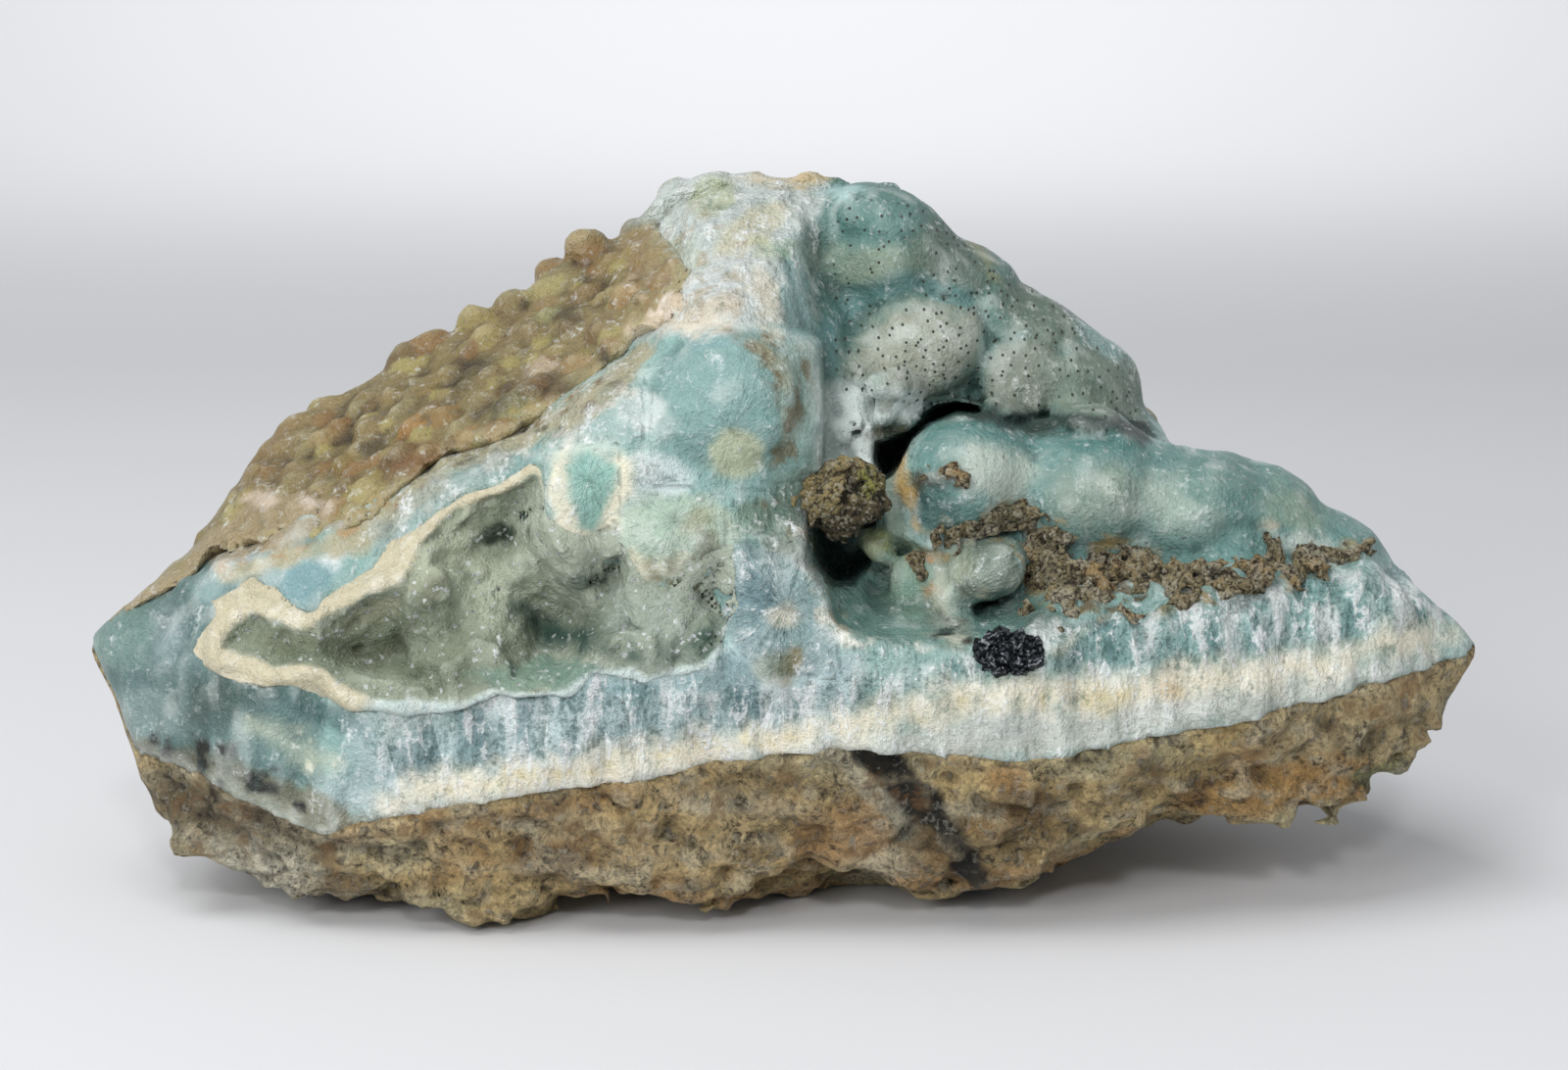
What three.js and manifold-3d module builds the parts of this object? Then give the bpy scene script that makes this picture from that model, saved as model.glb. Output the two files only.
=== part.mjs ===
// A hand specimen of hemimorphite: a vein of blue-green crystal between its brown host rock and a brown
// botryoidal crust, broken open so that its hollows show. Millimetres: +X runs to the right along the broken
// face, +Y into the stone, +Z up. The stone rests on z = 0, on the flat break of its underside.
import * as THREE from "three";
import { mergeVertices } from "three/addons/utils/BufferGeometryUtils.js";
import Module from "manifold-3d";

const wasm = await Module();
wasm.setup();

// ---- Driving dimensions ----
const LEFT_TIP = -55.6;
const RIGHT_TIP = 56.1;
const STATION = 4.8; // from one cross-section of the stone to the next
const SPAN = 6.4; // longest step along a cross-section
const GAP = 0.3; // between two pieces that touch
const FINE_RADIUS = 5.7; // lumps with every radius above this get the finer ball
const ROCK_RELIEF = 1.1; // how far the broken rock rises and falls
const ROCK_LUMP = 6; // from one rise of the rock to the next
const MOUND_RISE = 2.4; // broad mounds of the crust on the back
const MOUND = 11; // from one of them to the next
const CRAG = 3; // from one crag of the grainy strip to the next
const DRUSE_THICK = 1.4; // the sugary lining of the left hollow
const CRUST_THICK = 4.2; // the brown crust on the back and the left slope

// The stone's long edges, each from the left tip to the right one: [x, y, z] where the edge turns.
const EDGES = {
  foot: [
    [LEFT_TIP, -9.5, 20.2], [-53.3, -12, 16.6], [-51.7, -14, 12.7], [-49.6, -15, 7], [-44.7, -17, 4.8],
    [-38.3, -19, 2], [-34, -19, 3.6], [-27.5, -20, 3], [-20.6, -20, 0.5], [-14.5, -20, 3.8],
    [-4.6, -20, 3], [0, -20, 5.8], [5.3, -20, 6.6], [10.3, -20, 2.7], [19.1, -19, 4.4],
    [26.8, -18, 7.9], [30.6, -18, 9.9], [36.9, -17, 8.2], [47.6, -15, 8.2], [53, -12, 13.8],
    [54.9, -10, 17.3], [RIGHT_TIP, -8.5, 19.6],
  ],
  seam: [
    [LEFT_TIP, -10, 20.4], [-51.5, -14.5, 13], [-43.7, -18.5, 11.2], [-35.7, -21, 8.2],
    [-22.5, -22, 11.1], [-7.5, -22.5, 13.5], [6, -22.5, 15.4], [19.5, -22, 14.3], [33.9, -20, 16.4],
    [48.5, -14.5, 19], [RIGHT_TIP, -9, 19.8],
  ],
  face: [
    [LEFT_TIP, -10.5, 20.8], [-43.4, -17.5, 19.9], [-33.9, -20.5, 18.4], [-22.4, -22, 20.1],
    [-7.4, -22.5, 21.3], [5.2, -22, 23.5], [14.9, -22, 21.2], [22.4, -21, 24.6], [33.8, -19, 25.9],
    [45.9, -14, 26], [53.3, -9.5, 21.9], [RIGHT_TIP, -9, 20],
  ],
  ledge: [
    [LEFT_TIP, -10, 21], [-45, -15, 24], [-34, -17.5, 25.5], [-20, -18.5, 30], [-8, -19, 32],
    [2, -18, 31], [10, -13.5, 27], [16, -13, 26.5], [24, -12.5, 27.2], [36, -11, 28.2], [46, -10.5, 27],
    [RIGHT_TIP, -9, 20.2],
  ],
  brow: [
    [LEFT_TIP, -9.5, 21.2], [-49, -7.5, 26], [-42.1, -9.5, 29], [-33.4, -12, 31.3], [-21.4, -12, 37.6],
    [-12.2, -11, 41.6], [-7, -8, 47], [-2, -7, 48.6], [2.6, -5, 46.5], [5.5, -6, 42], [9.6, -6.5, 35.4],
    [15.4, -7, 36.6], [22.4, -7, 35.4], [31.3, -5.5, 33.6], [42.8, -5.5, 29.6], [47.3, -6.5, 27.4],
    [RIGHT_TIP, -8.5, 20.4],
  ],
  valley: [
    [LEFT_TIP, -8, 21.4], [-49, -4, 27.2], [-40, -1, 33.8], [-30, -1, 38], [-15, -1, 45.5],
    [-7, 1, 52.5], [1, 2, 52.4], [5, 3, 47], [10, 2, 38.5], [16, 2, 37], [26, 3, 35.4], [34, 0, 33.4],
    [43, -3, 29.8], [RIGHT_TIP, -7.5, 20.4],
  ],
  crest: [
    [LEFT_TIP, -7, 21], [-51.4, -5, 24.4], [-47.6, -1, 28.8], [-45.4, 3, 32.1], [-42.1, 6, 36.3],
    [-36.7, 7, 38], [-33.3, 8, 40.4], [-28.4, 9, 43.2], [-22.3, 10, 45.9], [-18.5, 10, 49],
    [-13.2, 11, 50.6], [-9.9, 12, 54.6], [-6.6, 12, 56], [4.1, 12, 55], [9, 12, 54.4], [12.8, 12, 50.6],
    [17.1, 13, 46.6], [23.8, 13, 43], [28.4, 13, 38.6], [31.3, 12, 33.6], [33.1, 9, 31.8],
    [37.1, 5, 32.6], [41.5, 1, 30.4], [44.4, -1, 27.8], [49.3, -3, 26.6], [53.5, -5, 21.9],
    [RIGHT_TIP, -7, 20.2],
  ],
  shoulder: [
    [LEFT_TIP, -6, 20.4], [-50, 3, 22], [-42, 15, 28], [-28, 19, 34], [-8, 21, 46], [8, 21, 45],
    [22, 20, 34], [34, 17, 26], [46, 9, 22], [RIGHT_TIP, -6, 19.6],
  ],
  waist: [
    [LEFT_TIP, -6, 19.8], [-50, 5, 15], [-42, 17, 17], [-24, 23, 19], [0, 24.5, 22], [22, 24, 18],
    [38, 18, 16], [50, 6, 17], [RIGHT_TIP, -6, 19.2],
  ],
  heel: [
    [LEFT_TIP, -7, 19.4], [-50, 1, 8], [-42, 13, 3], [-26, 20, 0.6], [0, 21, 0.2], [20, 20, 1.6],
    [36, 14, 7], [49, 4, 12], [RIGHT_TIP, -6.5, 19],
  ],
  sole: [
    [LEFT_TIP, -8.5, 19.6], [-50, -8, 5.6], [-42, -6, -0.4], [-30, -4, -1.8], [0, -4, -2.4],
    [18, -4, -1.6], [30, -4, 4.4], [44, -4, 8.2], [RIGHT_TIP, -8, 19.2],
  ],
};

// How much of the crust's thickness lies outside each edge of the bare vein: [x, share].
const CRUST_SHARE = {
  valley: [[-54, 0], [-46, 0.8], [-16, 0.8], [-10, 0]],
  crest: [[-54, 0], [-46, 0.9], [-14, 0.9], [-9, 0.1], [30, 0.1], [36, 0]],
  shoulder: [[-54, 0], [-44, 1], [30, 1], [42, 0.5], [52, 0]],
  waist: [[-54, 0], [-44, 1], [30, 1], [42, 0.5], [52, 0]],
  heel: [[-54, 0], [-44, 1], [30, 1], [42, 0.5], [52, 0]],
};

// ---- Curves and relief ----

const CUBE_CORNERS = [0, 1, 2, 3, 4, 5, 6, 7].map((n) => [n & 1, (n >> 1) & 1, n >> 2]);

/** The values of a row of points [x, ...values] at x: straight between points, level beyond the ends. */
function along(points, x) {
  let i = 1;
  while (i < points.length - 1 && points[i][0] < x) i += 1;
  const [from, to] = [points[i - 1], points[i]];
  const share = THREE.MathUtils.clamp((x - from[0]) / (to[0] - from[0]), 0, 1);
  return from.slice(1).map((value, k) => THREE.MathUtils.lerp(value, to[k + 1], share));
}

/** A repeatable number from 0 to 1 for each whole-number corner of a lattice. */
function chance(x, y, z) {
  const wave = Math.sin(127.1 * x + 311.7 * y + 74.7 * z) * 43758.5453;
  return wave - Math.floor(wave);
}

/** Smooth unevenness from -1 to 1, about `size` mm from rise to rise: lattice numbers, blended. */
function uneven(p, size, seed = 0) {
  const at = p.clone().divideScalar(size).addScalar(17.3 * seed);
  const corner = at.clone().floor();
  const ease = at.sub(corner).toArray().map((t) => t * t * (3 - 2 * t));
  let sum = 0;
  for (const [i, j, k] of CUBE_CORNERS) {
    const share = [i, j, k].reduce((all, far, n) => all * (far ? ease[n] : 1 - ease[n]), 1);
    sum += share * chance(corner.x + i, corner.y + j, corner.z + k);
  }
  return 2 * sum - 1;
}

// ---- Solids ----

/** A closed geometry as a manifold-3d solid, with its doubled vertices merged. */
function solidOf(geometry) {
  const bare = new THREE.BufferGeometry().setAttribute("position", geometry.getAttribute("position"));
  if (geometry.index) bare.setIndex(geometry.index);
  const merged = mergeVertices(bare, 1e-4);
  return new wasm.Manifold(
    new wasm.Mesh({
      numProp: 3,
      vertProperties: merged.attributes.position.array,
      triVerts: new Uint32Array(merged.index.array),
    }),
  );
}

/** The largest separate body of a solid: a cut through rough stone leaves crumbs behind. */
function mainBody(solid) {
  return solid.decompose().reduce((best, body) => (body.volume() > best.volume() ? body : best));
}

/** A solid as a named mesh. */
function pieceOf(name, solid, material) {
  const { vertProperties, triVerts } = mainBody(solid).getMesh();
  const geometry = new THREE.BufferGeometry();
  geometry.setAttribute("position", new THREE.BufferAttribute(vertProperties, 3));
  geometry.setIndex(new THREE.BufferAttribute(triVerts, 1));
  geometry.computeVertexNormals();
  const mesh = new THREE.Mesh(geometry, material);
  mesh.name = name;
  return mesh;
}

const joined = (solids) => solids.reduce((all, solid) => all.add(solid));

/** The corners of the cross-section at x, one on each edge, and the middle between them. */
function sectionAt(edges, x) {
  const corners = Object.values(edges).map((row) => new THREE.Vector3(x, ...along(row, x)));
  const middle = corners.reduce((sum, p) => sum.add(p), new THREE.Vector3()).divideScalar(corners.length);
  return { corners, middle };
}

/**
 * Cross-sections through all the edges, one every STATION, joined into one closed skin that rises and falls
 * as broken rock does. `grow` swells it, and `mounds` is the height of the broad mounds on its back.
 */
function stone(edges, grow = 0, mounds = 0) {
  const home = sectionAt(edges, 0).corners;
  const lengths = home.map((p, i) => p.distanceTo(home[(i + 1) % home.length]));
  const steps = lengths.map((length) => Math.max(1, Math.round(length / SPAN)));
  const stations = Math.round((RIGHT_TIP - LEFT_TIP) / STATION);
  const rings = [];
  for (let s = 0; s <= stations; s += 1) {
    const x = THREE.MathUtils.lerp(LEFT_TIP, RIGHT_TIP, s / stations);
    const { corners, middle } = sectionAt(edges, x);
    const ring = corners.flatMap((corner, i) =>
      Array.from({ length: steps[i] }, (_, k) => {
        const p = corner.clone().lerp(corners[(i + 1) % corners.length], k / steps[i]);
        const out = p.clone().sub(middle).normalize();
        const calm = Math.min(1, p.distanceTo(middle) / 8); // the tips stay thin
        const back = THREE.MathUtils.clamp((p.y - 6) / 6, 0, 1) * calm;
        const rough = ROCK_RELIEF * calm * uneven(p, ROCK_LUMP);
        const mound = mounds * back * Math.abs(uneven(p, MOUND, 2));
        return p.addScaledVector(out, rough + mound + grow);
      }),
    );
    ring.middle = middle.clone().setX(x + Math.sign(x) * grow);
    rings.push(ring);
  }
  return closedRings(rings);
}

/** Rings of points, one after another, as a solid whose two ends are closed on a middle point. */
function closedRings(rings) {
  const across = rings[0].length;
  const points = rings.flat();
  const faces = [];
  for (let s = 0; s < rings.length - 1; s += 1) {
    for (let i = 0; i < across; i += 1) {
      const [a, b] = [s * across + i, s * across + ((i + 1) % across)];
      faces.push(a, b + across, b, a, a + across, b + across);
    }
  }
  points.push(rings[0].middle, rings.at(-1).middle);
  for (let i = 0; i < across; i += 1) {
    const [a, b] = [i, (i + 1) % across];
    const last = (rings.length - 1) * across;
    faces.push(points.length - 2, a, b, points.length - 1, last + b, last + a);
  }
  const geometry = new THREE.BufferGeometry().setFromPoints(points);
  geometry.setIndex(faces);
  return solidOf(geometry);
}

/** Everything under the wavy plane where the vein grew on the host rock, shifted up by `rise`. */
function underVein(rise) {
  const [width, depth, low] = [130, 64, -10];
  const geometry = new THREE.BoxGeometry(width, depth, 40, 14, 4, 1);
  const place = geometry.getAttribute("position");
  const p = new THREE.Vector3();
  for (let i = 0; i < place.count; i += 1) {
    p.fromBufferAttribute(place, i);
    place.setZ(i, p.z > 0 ? veinFloor(p.x, p.y) + rise : low);
  }
  return solidOf(geometry);
}

/** Height of the vein's lower wall: it follows the seam along the front and rises gently into the stone. */
function veinFloor(x, y) {
  const [front, seam] = along(EDGES.seam, x);
  const rise = 0.13 * Math.max(0, y - front);
  return seam + rise + 0.5 * uneven(new THREE.Vector3(x, y, 0), 9, 4);
}

/** A rounded body with radii [x, y, z] round `at`, its skin uneven by `relief`, swollen by `grow`. */
function lump({ at, radii, turn = 0, relief = 0.4, size = 4, grow = 0 }) {
  const geometry = new THREE.IcosahedronGeometry(1, Math.min(...radii) > FINE_RADIUS ? 2 : 1);
  const place = geometry.getAttribute("position");
  const turned = new THREE.Matrix4().makeRotationY(THREE.MathUtils.degToRad(turn));
  const p = new THREE.Vector3();
  for (let i = 0; i < place.count; i += 1) {
    const out = p.fromBufferAttribute(place, i).clone();
    p.multiply(new THREE.Vector3(...radii)).applyMatrix4(turned);
    out.applyMatrix4(turned);
    p.add(new THREE.Vector3(...at));
    p.addScaledVector(out, relief * uneven(p, size) + grow);
    place.setXYZ(i, p.x, p.y, p.z);
  }
  return solidOf(geometry);
}

const lumps = (list, more = {}) => joined(list.map((one) => lump({ ...one, ...more })));

/** A stem along points, `radius` thick and craggy by `relief`, with its ends sunk in what it grows from. */
function stem(points, radius, relief = 0, pace = 2.2) {
  const path = new THREE.CatmullRomCurve3(points.map((p) => new THREE.Vector3(...p)));
  const round = new THREE.Shape().absarc(0, 0, radius, 0, 2 * Math.PI);
  const steps = Math.max(3, Math.round(path.getLength() / pace));
  const shape = { steps, curveSegments: 4, bevelEnabled: false, extrudePath: path };
  const geometry = new THREE.ExtrudeGeometry(round, shape);
  const place = geometry.getAttribute("position");
  const p = new THREE.Vector3();
  for (let i = 0; i < place.count; i += 1) {
    p.fromBufferAttribute(place, i);
    const [x, y, z] = [5, 6, 7].map((seed) => relief * uneven(p, CRAG, seed));
    place.setXYZ(i, p.x + x, p.y + y, p.z + z);
  }
  return solidOf(geometry);
}

// ---- The stone as a whole, the bare vein, and the floor it stands on ----

/** The stone's edges with the crust taken off: each is drawn in by its share of the crust's thickness. */
function bareEdges() {
  const bare = {};
  for (const [name, points] of Object.entries(EDGES)) {
    const share = CRUST_SHARE[name];
    bare[name] = points.map(([x, y, z]) => {
      const off = share ? CRUST_THICK * along(share, x)[0] : 0;
      const upright = { valley: 0.75, crest: 0.85, shoulder: 0.5, waist: 0.1, heel: 0 }[name] ?? 0;
      const inward = { valley: -0.6, crest: 0.1, shoulder: 0.8, waist: 1, heel: 1 }[name] ?? 0;
      return [x, y - off * inward, z - off * upright];
    });
  }
  return bare;
}

const whole = stone(EDGES, 0, MOUND_RISE);
const BARE = bareEdges();
const floor = solidOf(new THREE.BoxGeometry(160, 90, 20).translate(0, 0, -10));

// ---- Hollows and botryoids of the hemimorphite ----

const LEFT_HOLLOW = [
  { at: [-34, -16, 23.8], radii: [12, 12, 4.2], turn: -20 },
  { at: [-22, -16.5, 27], radii: [8.6, 14, 6.8], turn: -40 },
  { at: [-12.4, -17.5, 24], radii: [9, 14, 4.2], turn: 8 },
];

// Rounded masses of the druse, on the back wall and the floor of the left hollow.
const DRUSE_LUMPS = [
  { at: [-25.7, -4, 21.8], radii: [5.4, 7.5, 5] },
  { at: [-21.3, -3, 27], radii: [4.2, 7, 4] },
  { at: [-31.6, -5, 25.4], radii: [5, 7.6, 4.4] },
  { at: [-10.8, -4.5, 22], radii: [5.8, 8, 3.8] },
  { at: [-33, -8.6, 19.6], radii: [5.2, 6, 2.4] },
  { at: [-17, -2, 23.4], radii: [3.6, 7, 3.2] },
];

const MIDDLE_HOLLOW = [
  { at: [6.4, -12, 29.5], radii: [4.8, 16, 7.2] },
  { at: [6.6, -8, 38.5], radii: [4, 12, 5.4] },
  { at: [12.4, -18, 25.2], radii: [8.2, 9.5, 4.4] },
  { at: [13, -2, 38], radii: [7, 5, 1.8] },
];

// Rounded masses of the front face, beside and above the hollows.
const FRONT_BOTRYOIDS = [
  { at: [-3.4, -7.5, 38.4], radii: [7.6, 9, 9.4] },
  { at: [-10.8, -9, 36.2], radii: [7.5, 9, 6.8] },
  { at: [-16, -11, 34], radii: [4.4, 8, 4] },
  { at: [-8.6, -11, 30.6], radii: [6, 9, 4.4] },
  { at: [14.2, -4, 34], radii: [6.2, 8.6, 5.2] },
  { at: [24, -3.5, 32], radii: [7.6, 9, 5.8] },
  { at: [32, -3, 30.2], radii: [6.8, 8.6, 5] },
  { at: [38.4, -1.5, 29.8], radii: [6, 7.5, 4.8] },
  { at: [44.5, -2, 27], radii: [5, 6.6, 3.6] },
];

// The wall behind the right-hand hollows, up to the crest.
const BACK_BOTRYOIDS = [
  { at: [7, 9.5, 48.8], radii: [7.4, 7, 6.6] },
  { at: [14, 11, 45], radii: [6.4, 7, 5.6] },
  { at: [11.5, 8, 42], radii: [7.2, 7.8, 4.8] },
  { at: [21, 9.5, 39.8], radii: [6.2, 7.8, 5.2] },
  { at: [26.2, 11.5, 38], radii: [5, 6.6, 4.8] },
  { at: [19.5, 12, 42], radii: [5, 5.5, 4] },
  { at: [29.5, 9, 34.2], radii: [3.8, 6.5, 3] },
];

// Small growths inside the middle hollow: a broken stub, and pale mounds on its floor.
const SMALL_GROWTHS = [
  { at: [15.2, -13.5, 28], radii: [2.9, 4.8, 2.6], relief: 0.1 },
  { at: [9.6, -9, 25.4], radii: [2.4, 3.6, 2.4] },
  { at: [7, -7, 21.6], radii: [4.4, 7, 2.6] },
  { at: [13.6, -12, 22.4], radii: [2.6, 4, 1.8] },
];

const whiteArch = () =>
  joined([
    stem([[3.4, -3, 42], [3.7, -5, 40], [4, -6.6, 37.6], [4.6, -7.4, 34.4]], 1.7),
    stem([[3.2, -4.4, 40.6], [6.4, -4.6, 40.4], [9.4, -3, 39.6], [11, 2, 39.4]], 1.5),
  ]);

// ---- Brown iron oxide and dark crystals ----

const IRON_LUMP = { at: [4.4, -8.4, 33], radii: [3.2, 3.2, 3.1], relief: 0.7, size: 2.4 };

// The grainy brown strip that arches over the stub and runs along the ledge to the right.
const STRIP_PATH = [
  [11.2, -14.4, 28.2], [13.4, -14.6, 30.8], [17, -14.4, 31.2], [19.4, -14.4, 28.8], [23.5, -14.2, 28.2],
  [30, -13.4, 28.4], [36, -12.2, 28.9], [42, -11.2, 28.6], [46.6, -9.8, 28],
];
const STRIP_RADIUS = 1.5;
const STRIP_RELIEF = 1.1;

const CRYSTAL_EDGE = 1.9;
const CRYSTALS = [[15.2, 22.2, 20], [16.8, 22.9, 55], [18.2, 21.8, 35], [18.9, 23.5, 10], [16.4, 24, 80]];
const CRYSTAL_DEPTH = -20.6;

/** Cubes grown through one another, each turned its own way. */
function darkCubes(grow = 0) {
  const edge = CRYSTAL_EDGE + 2 * grow;
  return joined(
    CRYSTALS.map(([x, z, angle], i) => {
      const cube = new THREE.BoxGeometry(edge, edge, edge);
      const turn = THREE.MathUtils.degToRad(angle);
      cube.rotateX(turn).rotateY(1.3 * turn + i).rotateZ(0.7 * turn);
      return solidOf(cube.translate(x, CRYSTAL_DEPTH + 0.3 * (i % 3), z));
    }),
  );
}

// ---- Brown botryoidal crust ----

/** A knob at station x, `share` of the way from one edge of the stone to another, and sunk by `sink`. */
function knob(x, from, to, share, radius, sink, n) {
  const [a, b] = [along(EDGES[from], x), along(EDGES[to], x)];
  const [y, z] = a.map((value, k) => THREE.MathUtils.lerp(value, b[k], share));
  const radii = [0, 1, 2].map((k) => radius * (0.85 + 0.35 * chance(n, k, 3)));
  return { at: [x, y + sink[0] * radius, z + sink[1] * radius], radii, relief: 0 };
}

/** Grape-like knobs that crowd the left slope. */
function crustKnobs() {
  const knobs = [];
  const scatter = (first, last, step, from, to, shares, radius, sink) => {
    shares.forEach((share, row) => {
      for (let x = first + 0.5 * step * (row % 2); x < last; x += step) {
        const n = knobs.length;
        const off = [chance(n, row, 1) - 0.5, chance(n, row, 2) - 0.5];
        knobs.push(knob(x + 0.6 * step * off[0], from, to, share + 0.2 * off[1], radius, sink, n));
      }
    });
  };
  scatter(-42, -16, 6.2, "brow", "valley", [0.35, 0.95], 3.7, [0.1, -0.5]);
  scatter(-40, -13, 6.6, "valley", "crest", [0.5, 1.05], 4, [0.1, -0.5]);
  return lumps(knobs);
}

// ---- Materials ----

const finish = (color, roughness, metalness = 0) =>
  new THREE.MeshStandardMaterial({ color, roughness, metalness });
const FINISHES = {
  rock: finish(0x8a7a5f, 0.9),
  blueGreen: finish(0x8fb9b4, 0.45),
  brownCrust: finish(0x8d7f52, 0.7),
  druse: finish(0x95a596, 0.55),
  ironOxide: finish(0x6a5530, 0.95),
  darkCrystal: finish(0x23282d, 0.3, 0.6),
};

// ---- Putting the specimen together ----

const BOTRYOIDS = [...FRONT_BOTRYOIDS, ...BACK_BOTRYOIDS];
const aboveRock = underVein(GAP / 2);

const matrix = whole.intersect(underVein(-GAP / 2)).subtract(floor);

const hemimorphite = stone(BARE)
  .subtract(lumps(MIDDLE_HOLLOW))
  .add(lumps(BOTRYOIDS))
  .subtract(lumps(LEFT_HOLLOW, { grow: GAP }))
  .add(joined([lumps(SMALL_GROWTHS), whiteArch()]))
  .subtract(aboveRock)
  .subtract(lump({ ...IRON_LUMP, grow: GAP }))
  .subtract(stem(STRIP_PATH, STRIP_RADIUS + 1.3 * GAP, STRIP_RELIEF))
  .subtract(darkCubes(GAP));

const brownCrust = whole
  .add(crustKnobs())
  .subtract(stone(BARE, GAP))
  .subtract(lumps(BOTRYOIDS, { grow: GAP }))
  .subtract(aboveRock);

const druse = lumps(LEFT_HOLLOW)
  .subtract(lumps(LEFT_HOLLOW, { grow: -DRUSE_THICK }))
  .add(lumps(DRUSE_LUMPS).intersect(lumps(LEFT_HOLLOW)))
  .intersect(stone(BARE))
  .subtract(aboveRock);

const specimen = new THREE.Group();
specimen.add(
  pieceOf("matrix", matrix, FINISHES.rock),
  pieceOf("hemimorphite", hemimorphite, FINISHES.blueGreen),
  pieceOf("brown_crust", brownCrust, FINISHES.brownCrust),
  pieceOf("druse", druse, FINISHES.druse),
  pieceOf("iron_oxide_lump", lump(IRON_LUMP), FINISHES.ironOxide),
  pieceOf("iron_oxide_strip", stem(STRIP_PATH, STRIP_RADIUS, STRIP_RELIEF), FINISHES.ironOxide),
  pieceOf("dark_crystals", darkCubes(), FINISHES.darkCrystal),
);

export default specimen;
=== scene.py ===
"""A hemimorphite hand specimen: host rock, blue-green vein, druse, brown crust and iron oxide.

Millimetres until a mesh is made. The stone is broken and overhung, so most skins are found as the
surface where a field of distances is zero, worked out with numpy on a block of points.
"""
import math

import bpy
import numpy as np
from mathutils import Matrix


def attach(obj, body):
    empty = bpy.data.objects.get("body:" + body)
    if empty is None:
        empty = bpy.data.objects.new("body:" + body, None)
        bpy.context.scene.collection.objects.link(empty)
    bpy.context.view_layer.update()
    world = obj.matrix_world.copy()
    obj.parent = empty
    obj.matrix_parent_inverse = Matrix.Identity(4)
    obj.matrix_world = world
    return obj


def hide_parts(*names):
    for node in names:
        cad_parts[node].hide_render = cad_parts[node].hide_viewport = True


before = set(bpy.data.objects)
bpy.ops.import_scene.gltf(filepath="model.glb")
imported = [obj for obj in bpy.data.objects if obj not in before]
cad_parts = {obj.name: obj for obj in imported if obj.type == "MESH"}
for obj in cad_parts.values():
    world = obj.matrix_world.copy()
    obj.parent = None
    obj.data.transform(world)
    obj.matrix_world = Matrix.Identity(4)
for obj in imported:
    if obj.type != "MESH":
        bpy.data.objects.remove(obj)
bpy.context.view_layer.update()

# ---- Viewpoint, floor and light ----
# The stone lies on a plain pale board under a broad soft lamp, with paler light from the front.
# The viewpoint is a hand's reach in front and a little above.
EYE = (0, -254.318, 81.557)
PITCH = math.radians(12)
BOARD_FLAT, BOARD_REACH, WALL_CURVE = 0.62, 1.25, 0.65

camera = bpy.data.objects.new("viewpoint", bpy.data.cameras.new("viewpoint"))
camera.location = [v / 1000 for v in EYE]
camera.rotation_euler = (math.radians(90) - PITCH, 0, 0)
camera.data.lens = 72.45
camera.data.sensor_width = 36
camera.data.clip_start = 0.01
bpy.context.collection.objects.link(camera)
bpy.context.scene.camera = camera


# The board curves up into a wall all round: height r - sqrt(r^2 - d^2), d beyond the flat middle.
around, out = np.meshgrid(np.linspace(0, 2 * math.pi, 65)[:-1], np.linspace(0.02, BOARD_REACH, 42))
past = np.clip(out - BOARD_FLAT, 0, WALL_CURVE - 0.01)
rise = WALL_CURVE - np.sqrt(WALL_CURVE**2 - past**2)
points = np.stack([out * np.cos(around), out * np.sin(around), rise], axis=-1).reshape(-1, 3)
number = np.arange(out.size).reshape(out.shape)
after = np.roll(number, -1, axis=1)
quads = np.stack([number[:-1], after[:-1], after[1:], number[1:]], axis=-1)
sheet = bpy.data.meshes.new("floor")
sheet.from_pydata(points.tolist(), [], [tuple(number[0])] + quads[..., ::-1].reshape(-1, 4).tolist())
sheet.shade_smooth()
board = bpy.data.objects.new("floor", sheet)
bpy.context.collection.objects.link(board)
pale = bpy.data.materials.new("pale_board")
pale.use_nodes = True
paint = pale.node_tree.nodes["Principled BSDF"].inputs
paint["Base Color"].default_value = (0.66, 0.665, 0.68, 1)
paint["Roughness"].default_value = 0.8
sheet.materials.append(pale)


def lamp(name, at, size, watts, aim=(0, 0, 0.03)):
    """A square soft lamp at one place that faces another."""
    light = bpy.data.objects.new(name, bpy.data.lights.new(name, "AREA"))
    light.data.size = size
    light.data.energy = watts
    light.location = at
    line = np.array(aim) - np.array(at)
    light.rotation_euler = (
        math.acos(-line[2] / np.linalg.norm(line)), 0, math.atan2(line[1], line[0]) - math.pi / 2
    )
    bpy.context.collection.objects.link(light)


lamp("softbox_above", (-0.20, -0.12, 0.56), 0.36, 2.0)
lamp("softbox_front", (-0.34, -0.52, 0.32), 0.26, 2.1)
lamp("glint_lamp", (0.04, -0.54, 0.40), 0.07, 0.85)
lamp("backdrop_lamp", (0, 0.6, 0.5), 0.4, 2.8, (0, 1.2, 0.1))
world = bpy.data.worlds.new("studio")
world.use_nodes = True
sky = world.node_tree.nodes["Background"].inputs
sky["Color"].default_value = (0.95, 0.97, 1, 1)
sky["Strength"].default_value = 0.42
bpy.context.scene.world = world
bpy.context.scene.view_settings.view_transform = "Standard"

# ---- Host rock ----
# A brown limestone or dolomite, broken rough: the lower third of the specimen. The vein grew on it.
# Relief is a list of unevennesses: how far apart its swells are in mm, their height and a seed.
ROCK_RELIEF = [(6, 1.0, 0), ((2.8, 2.8, 1.9), 0.95, 11), ((1.3, 1.3, 1.0), 0.75, 12)]
CELL = 0.45  # mm from point to point of a block

LEFT_TIP, RIGHT_TIP = -55.6, 56.1
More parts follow.
